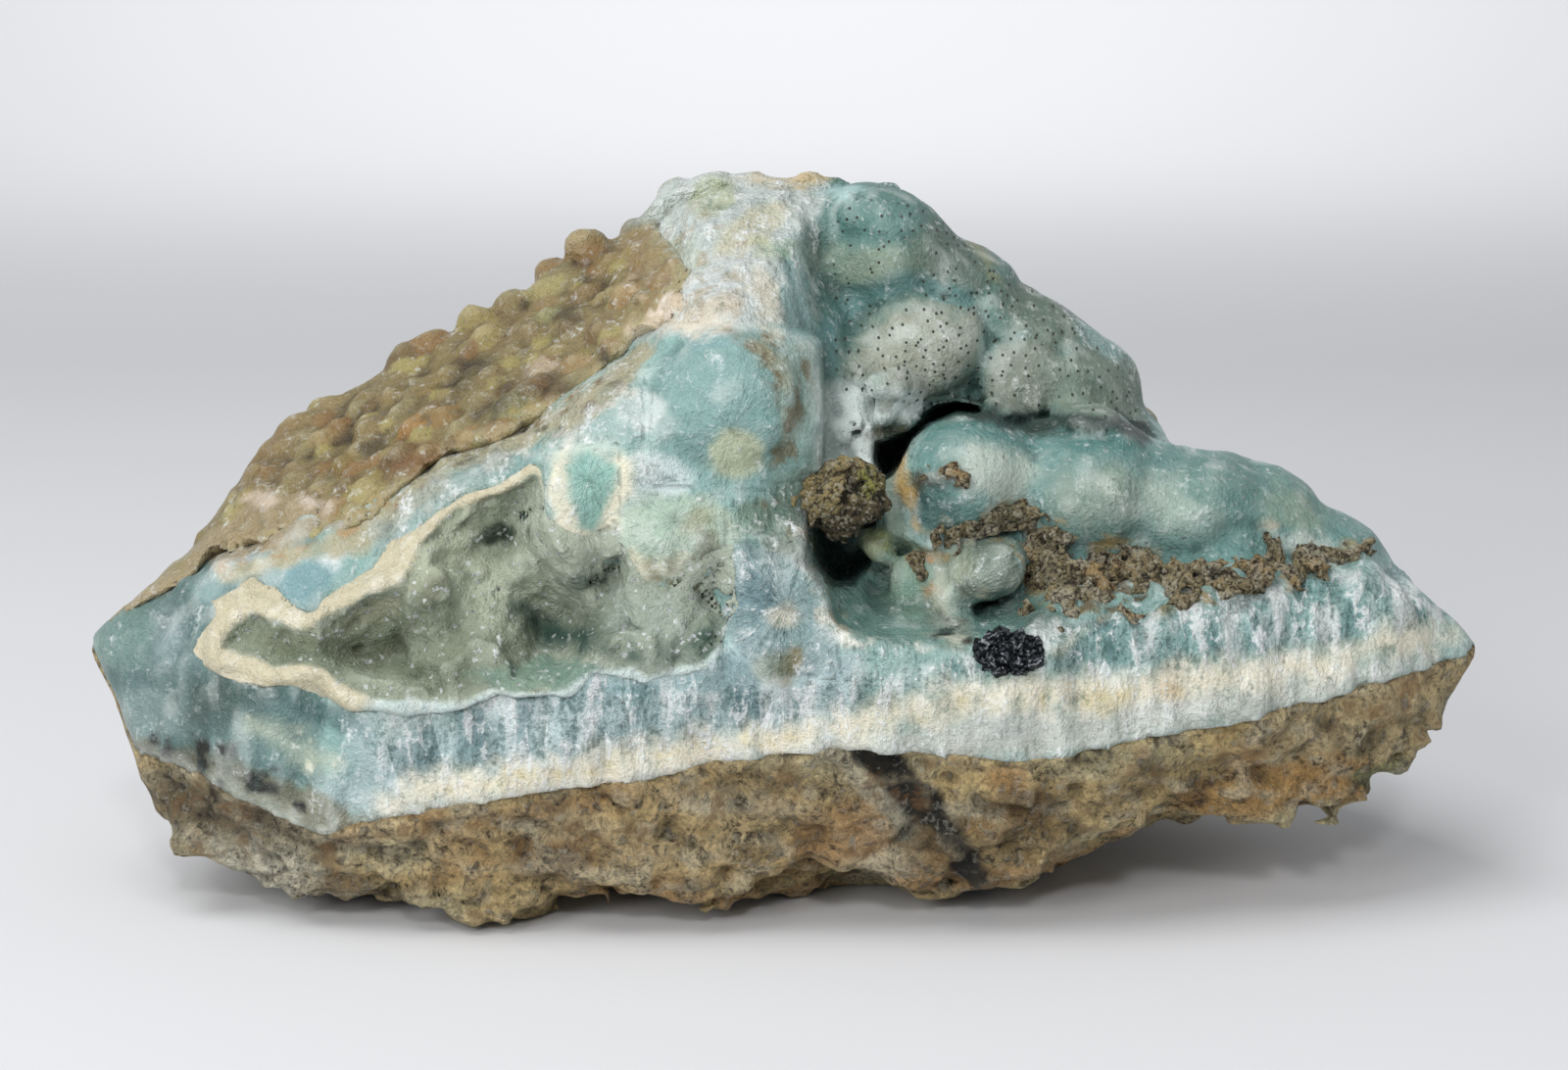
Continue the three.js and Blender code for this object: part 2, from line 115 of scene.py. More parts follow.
# The stone's long edges, each from the left tip to the right one: [x, y, z] where the edge turns.
EDGES = {
    "foot": [
        [LEFT_TIP, -9.5, 20.2], [-53.3, -12, 16.6], [-51.7, -14, 12.7], [-49.6, -15, 7], [-44.7, -17, 4.8],
        [-38.3, -19, 2], [-34, -19, 3.6], [-27.5, -20, 3], [-20.6, -20, 0.5], [-14.5, -20, 3.8],
        [-4.6, -20, 3], [0, -20, 5.8], [5.3, -20, 6.6], [10.3, -20, 2.7], [19.1, -19, 4.4],
        [26.8, -18, 7.9], [30.6, -18, 9.9], [36.9, -17, 8.2], [47.6, -15, 8.2], [53, -12, 13.8],
        [54.9, -10, 17.3], [RIGHT_TIP, -8.5, 19.6],
    ],
    "seam": [
        [LEFT_TIP, -10, 20.4], [-51.5, -14.5, 13], [-43.7, -18.5, 11.2], [-35.7, -21, 8.2],
        [-22.5, -22, 11.1], [-7.5, -22.5, 13.5], [6, -22.5, 15.4], [19.5, -22, 14.3], [33.9, -20, 16.4],
        [48.5, -14.5, 19], [RIGHT_TIP, -9, 19.8],
    ],
    "face": [
        [LEFT_TIP, -10.5, 20.8], [-43.4, -17.5, 19.9], [-33.9, -20.5, 18.4], [-22.4, -22, 20.1],
        [-7.4, -22.5, 21.3], [5.2, -22, 23.5], [14.9, -22, 21.2], [22.4, -21, 24.6], [33.8, -19, 25.9],
        [45.9, -14, 26], [53.3, -9.5, 21.9], [RIGHT_TIP, -9, 20],
    ],
    "ledge": [
        [LEFT_TIP, -10, 21], [-45, -15, 24], [-34, -17.5, 25.5], [-20, -18.5, 30], [-8, -19, 32],
        [2, -18, 31], [10, -13.5, 27], [16, -13, 26.5], [24, -12.5, 27.2], [36, -11, 28.2], [46, -10.5, 27],
        [RIGHT_TIP, -9, 20.2],
    ],
    "brow": [
        [LEFT_TIP, -9.5, 21.2], [-49, -7.5, 26], [-42.1, -9.5, 29], [-33.4, -12, 31.3], [-21.4, -12, 37.6],
        [-12.2, -11, 41.6], [-7, -8, 47], [-2, -7, 48.6], [2.6, -5, 46.5], [5.5, -6, 42], [9.6, -6.5, 35.4],
        [15.4, -7, 36.6], [22.4, -7, 35.4], [31.3, -5.5, 33.6], [42.8, -5.5, 29.6], [47.3, -6.5, 27.4],
        [RIGHT_TIP, -8.5, 20.4],
    ],
    "valley": [
        [LEFT_TIP, -8, 21.4], [-49, -4, 27.2], [-40, -1, 33.8], [-30, -1, 38], [-15, -1, 45.5],
        [-7, 1, 52.5], [1, 2, 52.4], [5, 3, 47], [10, 2, 38.5], [16, 2, 37], [26, 3, 35.4], [34, 0, 33.4],
        [43, -3, 29.8], [RIGHT_TIP, -7.5, 20.4],
    ],
    "crest": [
        [LEFT_TIP, -7, 21], [-51.4, -5, 24.4], [-47.6, -1, 28.8], [-45.4, 3, 32.1], [-42.1, 6, 36.3],
        [-36.7, 7, 38], [-33.3, 8, 40.4], [-28.4, 9, 43.2], [-22.3, 10, 45.9], [-18.5, 10, 49],
        [-13.2, 11, 50.6], [-9.9, 12, 54.6], [-6.6, 12, 56], [4.1, 12, 55], [9, 12, 54.4], [12.8, 12, 50.6],
        [17.1, 13, 46.6], [23.8, 13, 43], [28.4, 13, 38.6], [31.3, 12, 33.6], [33.1, 9, 31.8],
        [37.1, 5, 32.6], [41.5, 1, 30.4], [44.4, -1, 27.8], [49.3, -3, 26.6], [53.5, -5, 21.9],
        [RIGHT_TIP, -7, 20.2],
    ],
    "shoulder": [
        [LEFT_TIP, -6, 20.4], [-50, 3, 22], [-42, 15, 28], [-28, 19, 34], [-8, 21, 46], [8, 21, 45],
        [22, 20, 34], [34, 17, 26], [46, 9, 22], [RIGHT_TIP, -6, 19.6],
    ],
    "waist": [
        [LEFT_TIP, -6, 19.8], [-50, 5, 15], [-42, 17, 17], [-24, 23, 19], [0, 24.5, 22], [22, 24, 18],
        [38, 18, 16], [50, 6, 17], [RIGHT_TIP, -6, 19.2],
    ],
    "heel": [
        [LEFT_TIP, -7, 19.4], [-50, 1, 8], [-42, 13, 3], [-26, 20, 0.6], [0, 21, 0.2], [20, 20, 1.6],
        [36, 14, 7], [49, 4, 12], [RIGHT_TIP, -6.5, 19],
    ],
    "sole": [
        [LEFT_TIP, -8.5, 19.6], [-50, -8, 5.6], [-42, -6, -0.4], [-30, -4, -1.8], [0, -4, -2.4],
        [18, -4, -1.6], [30, -4, 4.4], [44, -4, 8.2], [RIGHT_TIP, -8, 19.2],
    ],
}


def block(low, high, cell):
    """Three axes of points, `cell` apart, that fill a box."""
    return [np.arange(a, b + cell, cell, dtype=np.float64) for a, b in zip(low, high)]


def grid(axes):
    """A block's x, y and z, each laid along its own direction."""
    return np.meshgrid(*axes, indexing="ij", sparse=True)


def chance(i, j, k):
    """A repeatable number from 0 to 1 for each whole-number place."""
    wave = np.sin(127.1 * i + 311.7 * j + 74.7 * k) * 43758.5453
    return wave - np.floor(wave)


SEED_STEP = 17.3


def uneven(axes, sizes, seed=0):
    """Smooth relief from -1 to 1 over a block: chance numbers `sizes` mm apart, blended in between."""
    shares, places = [], []
    for axis, size in zip(axes, np.broadcast_to(sizes, 3)):
        step = axis / size + SEED_STEP * seed
        low = np.floor(step).astype(int)
        ease = step - low
        ease = ease * ease * (3 - 2 * ease)
        count = low.max() - low.min() + 2
        share = np.zeros((len(axis), count), np.float32)
        row = np.arange(len(axis))
        share[row, low - low.min()] = 1 - ease
        share[row, low - low.min() + 1] = ease
        shares.append(share)
        places.append(np.arange(low.min(), low.min() + count, dtype=np.float64))
    out = chance(places[0][:, None, None], places[1][:, None], places[2]).astype(np.float32)
    out = np.tensordot(shares[0], out, (1, 0))
    out = np.tensordot(out, shares[1], (1, 1))
    out = np.tensordot(out, shares[2], (1, 1))
    return 2 * out - 1


def relief(axes, waves):
    """Several unevennesses added up, each given as sizes, height and seed."""
    return sum(height * uneven(axes, sizes, seed) for sizes, height, seed in waves)


def outline(u, v, ring):
    """Distance from each place (u, v) to a closed ring of corners, less than 0 inside it."""
    nearest = np.full(np.broadcast(u, v).shape, 1e9, np.float32)
    inside = np.zeros(nearest.shape, bool)
    for (au, av), (bu, bv) in zip(ring, ring[1:] + ring[:1]):
        du, dv = bu - au, bv - av
        share = np.clip(((u - au) * du + (v - av) * dv) / (du * du + dv * dv + 1e-9), 0, 1)
        gap = (u - au - share * du) ** 2 + (v - av - share * dv) ** 2
        nearest = np.minimum(nearest, gap.astype(np.float32))
        if dv:
            inside ^= ((av > v) != (bv > v)) & (u < au + du * (v - av) / dv)
    nearest = np.sqrt(nearest)
    return np.where(inside, -nearest, nearest)


def rail(points, x):
    """The y and z of an edge at each x: straight between its turning points."""
    points = np.array(points)
    return np.interp(x, points[:, 0], points[:, 1]), np.interp(x, points[:, 0], points[:, 2])


def soften(field, times):
    """Rounds a field's edges: each value becomes the mean of itself and its neighbours."""
    for _ in range(times):
        for axis in range(3):
            ahead, behind = np.roll(field, -1, axis), np.roll(field, 1, axis)
            field = (ahead + 2 * field + behind) / 4
    return field


def stone(axes, edges, step=0.9):
    """Distance to the skin of the stone: in each slice across x, the distance to the ring of its edges.

    It is worked out `step` mm apart, rounded a little, and blended in between.
    """
    wide = [np.arange(a[0] - 3 * step, a[-1] + 3 * step, step) for a in axes]
    y, z = wide[1][:, None], wide[2][None, :]
    slices = []
    for x in wide[0]:
        ring = [tuple(float(c) for c in rail(points, x)) for points in edges.values()]
        beyond = max(LEFT_TIP - x, x - RIGHT_TIP, 0)
        slices.append(outline(y, z, ring) + beyond)
    field = soften(np.array(slices), 2)
    shares = []
    for fine, coarse in zip(axes, wide):
        at = (fine - coarse[0]) / step
        low = at.astype(int)
        share = np.zeros((len(fine), len(coarse)), np.float32)
        share[np.arange(len(fine)), low] = 1 - (at - low)
        share[np.arange(len(fine)), low + 1] = at - low
        shares.append(share)
    field = np.tensordot(shares[0], field, (1, 0))
    field = np.tensordot(field, shares[1], (1, 1))
    return np.tensordot(field, shares[2], (1, 1))


def skin(field, axes, scattered=False):
    """The surface where a field is zero, as corners in mm and four-sided faces.

    Every cell that the surface crosses gets one corner, at the mean of the crossings on the cell's edges.
    Every edge that it crosses gets one face, between the four cells round that edge. Only the largest
    connected part is kept, unless the piece is `scattered`.
    """
    field = field.copy()
    for axis in range(3):
        ends = np.moveaxis(field, axis, 0)
        ends[0] = ends[-1] = 1
    inside = field < 0
    cells, places, faces = [], [], []
    for axis in range(3):
        layers = np.moveaxis(inside, axis, 0)
        crossed = np.moveaxis(layers[:-1] != layers[1:], 0, axis)
        at = np.array(np.nonzero(crossed))
        ahead = at.copy()
        ahead[axis] += 1
        here, there = field[tuple(at)], field[tuple(ahead)]
        place = at.astype(np.float64)
        place[axis] += here / (here - there)
        round_edge = []
        for one, two in ((1, 1), (0, 1), (0, 0), (1, 0)):
            cell = at.copy()
            cell[(axis + 1) % 3] -= one
            cell[(axis + 2) % 3] -= two
            round_edge.append(np.ravel_multi_index(cell, field.shape))
        round_edge = np.array(round_edge).T
        cells.append(np.where((here < 0)[:, None], round_edge, round_edge[:, ::-1]))
        places.append(np.repeat(place.T, 4, axis=0))
    cells, places = np.concatenate(cells), np.concatenate(places)
    _, number = np.unique(cells.ravel(), return_inverse=True)
    faces = number.reshape(-1, 4)
    count = np.bincount(number)
    corners = np.array([np.bincount(number, places[:, k]) / count for k in range(3)]).T
    start, second = [np.array([axis[k] for axis in axes]) for k in (0, 1)]
    corners = start + (second - start) * corners
    return (corners, faces) if scattered else largest(corners, faces)


def largest(corners, faces):
    """The biggest connected part of a mesh: every corner takes the lowest number that it is joined to."""
    root = np.arange(len(corners))
    one, two = faces.ravel(), np.roll(faces, 1, axis=1).ravel()
    while True:
        low, high = np.minimum(root[one], root[two]), np.maximum(root[one], root[two])
        if (low == high).all():
            break
        np.minimum.at(root, high, low)
        while (root[root] != root).any():
            root = root[root]
    kept = root == np.bincount(root).argmax()
    number = np.cumsum(kept) - 1
    return corners[kept], number[faces[kept[faces[:, 0]]]]


def below_vein(axes):
    """How far each point lies below the vein's lower wall, which follows the seam and rises behind it."""
    x, y, z = grid(axes)
    front, seam = rail(EDGES["seam"], x)
    return seam + 0.13 * np.maximum(0, y - front) + 0.5 * uneven(axes, 9, 4) - z


def smooth(low, high, value):
    """0 below `low`, 1 above `high`, and an even ramp in between."""
    share = np.clip((value - low) / (high - low), 0, 1)
    return share * share * (3 - 2 * share)


def piece(name, shape, material, slot, *nodes, smooth_faces=True, **paints):
    """A finished piece in the frame, with one vector a corner for each paint."""
    corners, faces = shape
    mesh = bpy.data.meshes.new(name)
    mesh.vertices.add(len(corners))
    mesh.vertices.foreach_set("co", (corners / 1000).astype(np.float32).ravel())
    mesh.loops.add(faces.size)
    mesh.loops.foreach_set("vertex_index", faces.astype(np.int32).ravel())
    mesh.polygons.add(len(faces))
    mesh.polygons.foreach_set("loop_start", np.arange(0, faces.size, faces.shape[1], dtype=np.int32))
    mesh.polygons.foreach_set("use_smooth", np.full(len(faces), smooth_faces))
    mesh.update(calc_edges=True)
    mesh.validate()
    for paint, values in paints.items():
        values = np.asarray(values, np.float32).ravel()
        mesh.attributes.new(paint, "FLOAT_VECTOR", "POINT").data.foreach_set("vector", values)
    made = bpy.data.objects.new(name, mesh)
    mesh.materials.append(material)
    bpy.context.collection.objects.link(made)
    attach(made, "root")
    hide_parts(*nodes)


# Places on the broken face are measured across and up in mm, on a plane this far ahead of the viewpoint.
FACE_DEPTH = 240


def seen(x, y, z):
    """Where a point shows on the broken face, along its line to the viewpoint: across and up."""
    ahead = (y - EYE[1]) * math.cos(PITCH) - (z - EYE[2]) * math.sin(PITCH)
    above = (y - EYE[1]) * math.sin(PITCH) + (z - EYE[2]) * math.cos(PITCH)
    return FACE_DEPTH * x / ahead, FACE_DEPTH * above / ahead


def behind(u, v, y):
    """The point at depth y that shows at (u, v) on the broken face: the other way round from `seen`."""
    across, rise = u / FACE_DEPTH, v / FACE_DEPTH
    line = (math.cos(PITCH) + rise * math.sin(PITCH), rise * math.cos(PITCH) - math.sin(PITCH))
    far = (y - EYE[1]) / line[0]
    return far * across, y, EYE[2] + far * line[1]


def joined(one, other, blend):
    """Two fields as one, filleted where they meet: the lower value, less blend/4 (1 - gap/blend)^2."""
    near = np.maximum(blend - np.abs(one - other), 0) / blend
    return np.minimum(one, other) - near * near * blend / 4


def mass(field, axes, at, radii, blend=0.6):
    """Adds a rounded body to a field, blended over `blend` mm.

    The distance to the body is q (q - 1) / |gradient of q|, with q the distance from its middle in radii.
    """
    reach = max(radii) + 2.5
    part = tuple(slice(*np.searchsorted(axis, (c - reach, c + reach))) for axis, c in zip(axes, at))
    x, y, z = grid([axis[s] - c for axis, s, c in zip(axes, part, at)])
    q = np.sqrt((x / radii[0]) ** 2 + (y / radii[1]) ** 2 + (z / radii[2]) ** 2) + 1e-6
    slope = np.sqrt((x / radii[0] ** 2) ** 2 + (y / radii[1] ** 2) ** 2 + (z / radii[2] ** 2) ** 2) + 1e-6
    field[part] = joined(field[part], (q * (q - 1) / slope).astype(np.float32), blend)


def tips(x):
    """How strongly relief shows: less towards the two thin tips."""
    return np.clip(np.minimum(x - LEFT_TIP, RIGHT_TIP - x) / 7, 0.12, 1)


def sample(field, axes, corners):
    """A field's value at each corner, blended between the eight points round it."""
    at = [(corners[:, k] - axes[k][0]) / (axes[k][1] - axes[k][0]) for k in range(3)]
    low = [np.clip(a.astype(int), 0, n - 2) for a, n in zip(at, field.shape)]
    share = [a - b for a, b in zip(at, low)]
    total = 0
    for i, j, k in np.ndindex(2, 2, 2):
        part = 1
        for far, one in zip((i, j, k), share):
            part = part * (one if far else 1 - one)
        total = total + part * field[low[0] + i, low[1] + j, low[2] + k]
    return total


def bulge(field, axes, corners, times):
    """How far each corner stands proud of the skin softened round it: below 0 in a crevice."""
    return sample(soften(field, times), axes, corners)


def patchy(corners, size, seed):
    """The same unevenness as `uneven`, at single places."""
    step = corners / np.array(size) + SEED_STEP * seed
    low = np.floor(step)
    ease = step - low
    ease = ease * ease * (3 - 2 * ease)
    total = 0
    for corner in np.ndindex(2, 2, 2):
        part = np.where(corner, ease, 1 - ease).prod(axis=1)
        total = total + part * chance(*(low + corner).T)
    return 2 * total - 1


def shade(text):
    """A colour written as rrggbb, as the shader's numbers."""
    part = np.array([int(text[i : i + 2], 16) / 255 for i in (0, 2, 4)])
    return np.where(part < 0.04045, part / 12.92, ((part + 0.055) / 1.055) ** 2.4)


def plain(corners, colour):
    """One colour for every corner."""
    return np.repeat(shade(colour)[None], len(corners), axis=0)


def over(tint, mask, colour):
    """Lays a colour over a tint, as far as the mask says."""
    colour = shade(colour) if isinstance(colour, str) else colour
    return tint + mask[:, None] * (colour - tint)


def layered(tint, value, *layers):
    """Lays colours over a tint by a value: the strength of each, where it begins and where it is full."""
    for strength, low, high, colour in layers:
        tint = over(tint, strength * smooth(low, high, value), colour)
    return tint


def course(u, v, path):
    """Distance from each place to a band along (u, v, half width) points, less than 0 inside it."""
    gap = np.full(u.shape, 1e9)
    for (au, av, aw), (bu, bv, bw) in zip(path, path[1:]):
        du, dv = bu - au, bv - av
        share = np.clip(((u - au) * du + (v - av) * dv) / (du * du + dv * dv), 0, 1)
        gap = np.minimum(gap, np.hypot(u - au - share * du, v - av - share * dv) - aw - share * (bw - aw))
    return gap


def leaning(u, v, across, up, turn):
    """Places measured from a middle, along axes turned by some degrees."""
    cos, sin = math.cos(math.radians(turn)), math.sin(math.radians(turn))
    du, dv = u - across, v - up
    return du * cos + dv * sin, dv * cos - du * sin


def spot(u, v, ovals):
    """Distance from each place to an oval (across, up, half width, half height, turn), under 0 inside it."""
    across, up, wide, high, turn = ovals[0]
    du, dv = leaning(u, v, across, up, turn)
    return (np.hypot(du / wide, dv / high) - 1) * min(wide, high)


# How many numbers a place of each kind of mark takes, and the distance to the mark.
SHAPES = {"oval": (5, spot), "ring": (2, outline), "band": (3, course)}


def rows(words, width=2):
    """Numbers written one after the other, as rows of `width`."""
    words = words.split() if isinstance(words, str) else words
    return np.array(words, float).reshape(-1, width).tolist()


def marks(text):
    """A list of marks: the kind, colour and strength of each, then the places of its shape.

    An oval has its middle, half width, half height and turn, a ring its corners, and a band its turning
    points with its half width there. The kind also says if the mark is soft or flecked.
    """
    table = []
    for word in text.split():
        if word.endswith(tuple(SHAPES)):
            table.append([word])
        else:
            table[-1].append(word)
    return [(kind, colour, float(strength), rows(numbers, SHAPES[kind.split("-")[-1]][0]))
            for kind, colour, strength, *numbers in table]


def tinted(corners, tint, table, soft=0.35):
    """Lays a list of marks over a tint: their edges are ragged, or soft, or the tint is flecked."""
    u, v = seen(*corners.T)
    ragged = 0.5 * patchy(corners, 2, 51) + 0.35 * patchy(corners, 0.8, 52)
    fleck = smooth(0.1, 0.45, patchy(corners, 1, 55) + 0.5 * patchy(corners, 0.55, 56))
    for kind, colour, strength, at in table:
        gap = SHAPES[kind.split("-")[-1]][1](u, v, at)
        mask = smooth(1.1, -1.3, gap + 1.5 * ragged) if "soft" in kind else smooth(soft, -soft, gap + ragged)
        mask = mask * fleck if "flecked" in kind else mask
        tint = over(tint, strength * mask, colour)
    return tint


class Wire:
    """One socket of a material: sums on wires and numbers add Math nodes."""

    def __init__(self, tree, socket=None):
        self.tree, self.socket = tree, socket

    def node(self, kind, settings=None, output=0, **values):
        """Any node: its settings first, then the values or wires of its sockets, by name or number."""
        made = self.tree.nodes.new("ShaderNode" + kind)
        for name, value in (settings or {}).items():
            setattr(made, name, value)
        for name, value in values.items():
            key = int(name[1:]) if name[0] == "_" else name.replace("_", " ")
            if isinstance(value, Wire):
                self.tree.links.new(value.socket, made.inputs[key])
            else:
                made.inputs[key].default_value = value
        return Wire(self.tree, made.outputs[output])

    def math(self, operation, first, second):
        return self.node("Math", {"operation": operation}, _0=first, _1=second)

    def __add__(self, other):
        return self.math("ADD", self, other)

    def __radd__(self, other):
        return self.math("ADD", other, self)

    def __sub__(self, other):
        return self.math("SUBTRACT", self, other)

    def __rsub__(self, other):
        return self.math("SUBTRACT", other, self)

    def __mul__(self, other):
        return self.math("MULTIPLY", self, other)

    def __rmul__(self, other):
        return self.math("MULTIPLY", other, self)

    def ramp(self, low, high):
        """0 at `low`, 1 at `high`, smooth in between."""
        return self.node(
            "MapRange", {"interpolation_type": "SMOOTHSTEP"}, Value=self, From_Min=low, From_Max=high
        )

    def vector(self, operation, other=None, **values):
        """Vector Math on this vector, alone or with another."""
        if other is not None:
            values["_1"] = other
        return self.node("VectorMath", {"operation": operation}, _0=self, **values)

    def mixed(self, share, one, other):
        """One colour, gone over to another as far as the share says."""
        return self.node("Mix", {"data_type": "RGBA"}, output=2, _0=share, _6=one, _7=other)

    def mix(self, share, other):
        return self.mixed(share, self, other)

    def parts(self):
        """The three numbers of a vector or colour."""
        return [self.node("SeparateXYZ", output=k, Vector=self) for k in range(3)]

    def painted(self, name):
        """What is painted on the piece's corners under a name."""
        return self.node("Attribute", {"attribute_name": name}, output="Vector")

    def chance_turn(self, amount):
        """A chance colour as a small turn of the skin, by an amount."""
        return self.vector("SUBTRACT", (0.5, 0.5, 0.5)).vector("SCALE", Scale=amount)

    def millimetres(self):
        """Places on the piece in mm."""
        return self.node("TexCoord", output="Object").vector("MULTIPLY", (1000, 1000, 1000))


def material(name, build, roughness=0.5, **fixed):
    """A material whose surface is built by a function; `fixed` values go straight onto the shader."""
    made = bpy.data.materials.new(name)
    made.use_nodes = True
    surface = made.node_tree.nodes["Principled BSDF"]
    for socket, value in fixed.items():
        surface.inputs[socket.replace("_", " ")].default_value = value
    surface.inputs["Roughness"].default_value = roughness
    for socket, wire in build(Wire(made.node_tree)).items():
        made.node_tree.links.new(wire.socket, surface.inputs[socket])
    return made


def rock_finish(start):
    """Crumbly grains of brown carbonate: each grain has its own tone, some are clear white calcite."""
    tint, place = start.painted("tint"), start.millimetres()
    bend = start.node("TexNoise", output="Color", Vector=place, Scale=0.7, Detail=2.0)
    place = place.vector("ADD", bend.vector("SCALE", Scale=1.1))
    grain = start.node("TexVoronoi", output="Color", Vector=place, Scale=1.5)
    tone, white, _ = grain.parts()
    fine = start.node("TexNoise", Vector=place, Scale=2.2, Detail=4.0, Roughness=0.8)
    middle = start.node("TexNoise", Vector=place, Scale=0.8, Detail=2.0, Roughness=0.6)
    broad = start.node("TexNoise", Vector=place, Scale=0.25, Detail=3.0)
    level = tone * 0.2 + (fine - 0.5) * 3.2 + (middle - 0.5) * 1.4 + (broad - 0.5) * 1.2 + 0.6
    colour = tint.vector("MULTIPLY", (0.2, 0.18, 0.15)).mix(level.ramp(0, 0.55), tint)
    colour = colour.mix(level.ramp(0.5, 1.0), tint.vector("MULTIPLY", (1.5, 1.48, 1.44)))
    rusty = broad.ramp(0.5, 0.62) * middle.ramp(0.45, 0.6) * 0.6
    calcite = white.ramp(0.8, 0.86) * fine.ramp(0.45, 0.62) * 0.7
    colour = colour.mix(rusty, (0.3, 0.15, 0.05, 1)).mix(calcite, (0.66, 0.63, 0.52, 1))
    bump = start.node("Bump", Height=fine * 2.0 + middle, Strength=1.0, Distance=0.0017)
    normal = bump.vector("ADD", grain.chance_turn(0.2)).vector("NORMALIZE")
    return {"Base Color": colour, "Roughness": 0.78 - calcite * 0.5, "Normal": normal}


SET_IN = 0.3  # mm that a piece reaches into the one it has grown together with
ROCK_TINTS = marks("""
oval b3ad96 0.9 -43.6 -22.7 9.7 5.2 -12 soft-oval f4f6ec 1 -39.9 -25.5 5.5 2.2 -20
soft-oval 6a5c42 0.9 -44.3 -20.8 4.5 1.6 -15 oval 7c6648 0.8 -33 -26.5 2.5 1.2 0
soft-oval f0c893 0.8 -25 -24.3 2.5 1.8 0 soft-oval fff6de 0.95 7.8 -23.6 3.4 2.5 20
soft-oval eee2c0 0.8 -11.2 -23.9 4 1.9 0 soft-oval e0d0a0 0.6 30.2 -18 3.3 1.6 0
soft-oval e6d8b0 0.7 40.2 -17.1 4.5 1.8 12 soft-oval f0dca8 0.7 0 -21.5 4.5 1.9 -5
soft-oval 8a6238 0.8 18.6 -21.2 2.7 1.8 10 oval d0b88c 0.6 -7.5 -22.7 17.1 4.5 5
oval b07c48 0.5 4.5 -22.7 4.5 2.2 20 oval 9a7040 0.6 -17.1 -24.1 3.7 1.6 0
oval 8f7c58 0.7 15.7 -22.7 6.7 3 10 oval c9bb98 0.85 44.7 -14.8 8.9 4.6 14
oval c49858 0.75 38 -19.3 8.2 1.9 8 oval 8fae87 0.6 46.2 -18.2 2.2 0.9 15
oval 8d7a55 0.5 28.3 -18.9 4.5 1.5 10 soft-oval fdf4cf 0.95 -30 -23.7 3.7 1.9 0
soft-oval efe8d4 0.7 -37.3 -22.3 4.5 1 -8 oval ddd2b4 0.6 -17.9 -21.9 3.7 1.2 0
oval dbd0b6 0.6 -4.5 -20.4 4.5 1 -6
band b0895a 0.5 -35 -23.3 0.6 -28.3 -22.7 0.5 -20.9 -21.5 0.6 -13.4 -20 0.5
flecked-band 2c2a1e 0.95 -48.4 -17.1 1.2 -43.6 -18.9 1.5 -39.5 -20 1
band 353a32 0.9 -47.7 -15.7 0.4 -44.7 -16.4 0.7 -41 -17.8 0.5
band 4b3f27 0.7 -41 -21.2 0.6 -35 -23.6 0.4 -32 -23.9 0.2
band c6cabf 0.8 3.7 -16.3 1.2 6.3 -18.6 1 9.3 -22.3 0.7
band 20211a 1 6.6 -16.5 1.3 8.6 -18.2 1.3 11.2 -21 1.2 13.8 -24.7 0.9 15.1 -27 0.7
""")


def mounds(axes, height):
    """Broad mounds over the back of the stone, which has them from y = 6 mm and in full from 12 mm."""
    return height * np.clip((grid(axes)[1] - 6) / 6, 0, 1) * np.abs(uneven(axes, 11, 2))


axes = block((-57.5, -25, -1.5), (58, 28.5, 26), CELL)
x, y, z = grid(axes)
rock = stone(axes, EDGES) - tips(x) * (relief(axes, ROCK_RELIEF) + mounds(axes, 2.4))
rock = np.maximum(rock, -SET_IN - below_vein(axes))
rock = np.maximum(rock, -z).astype(np.float32)
corners, faces = skin(rock, axes)
corners[:, 2] = np.maximum(corners[:, 2], 0)
tint = plain(corners, "ead5a2")
tint = layered(tint, patchy(corners, (4, 4, 3), 71), (0.6, 0.15, 0.5, "c3c4ac"))
tint = layered(tint, patchy(corners, (5, 5, 3), 72), (0.6, 0.15, 0.5, "b98650"))
tint = tinted(corners, tint, ROCK_TINTS)
light = smooth(0.03, 0.15, tint[:, 1])
tint = layered(tint, patchy(corners, (1.8, 1.8, 1.3), 73), (0.5 * light, 0.3, 0.6, "f1eedd"))
tint = layered(tint, patchy(corners, (1.5, 1.5, 1.2), 74), (0.45 * light, 0.25, 0.6, "5a4428"))
# Painted shade in the rock's crevices (3a3220) and a painted highlight where it stands proud (e2d6b8).
tint = layered(tint, bulge(rock, axes, corners, 5), (0.5, -0.05, -0.45, "3a3220"), (0.3, 0.05, 0.4, "e2d6b8"))
tint = tint * (0.92, 0.87, 0.76)
finish = material("host_rock_grains", rock_finish)
piece("host_rock", (corners, faces), finish, "host_rock", "matrix", tint=tint)

# ---- Hemimorphite ----
# The vein itself: blue-green fibrous crystal that grew up from the rock, with botryoids in its hollows.
# One solid with its host wall below and its crust behind, broken across in front.
CRUST_THICK = 4.2
# How much of that thickness lies on each edge of the stone, from left to right: [x, share].
CRUST_SHARE = {
    "valley": [[-54, 0], [-46, 0.8], [-16, 0.8], [-10, 0]],
    "crest": [[-54, 0], [-46, 0.9], [-14, 0.9], [-9, 0.1], [30, 0.1], [36, 0]],
    "shoulder": [[-54, 0], [-44, 1], [30, 1], [42, 0.5], [52, 0]],
    "waist": [[-54, 0], [-44, 1], [30, 1], [42, 0.5], [52, 0]],
    "heel": [[-54, 0], [-44, 1], [30, 1], [42, 0.5], [52, 0]],
}
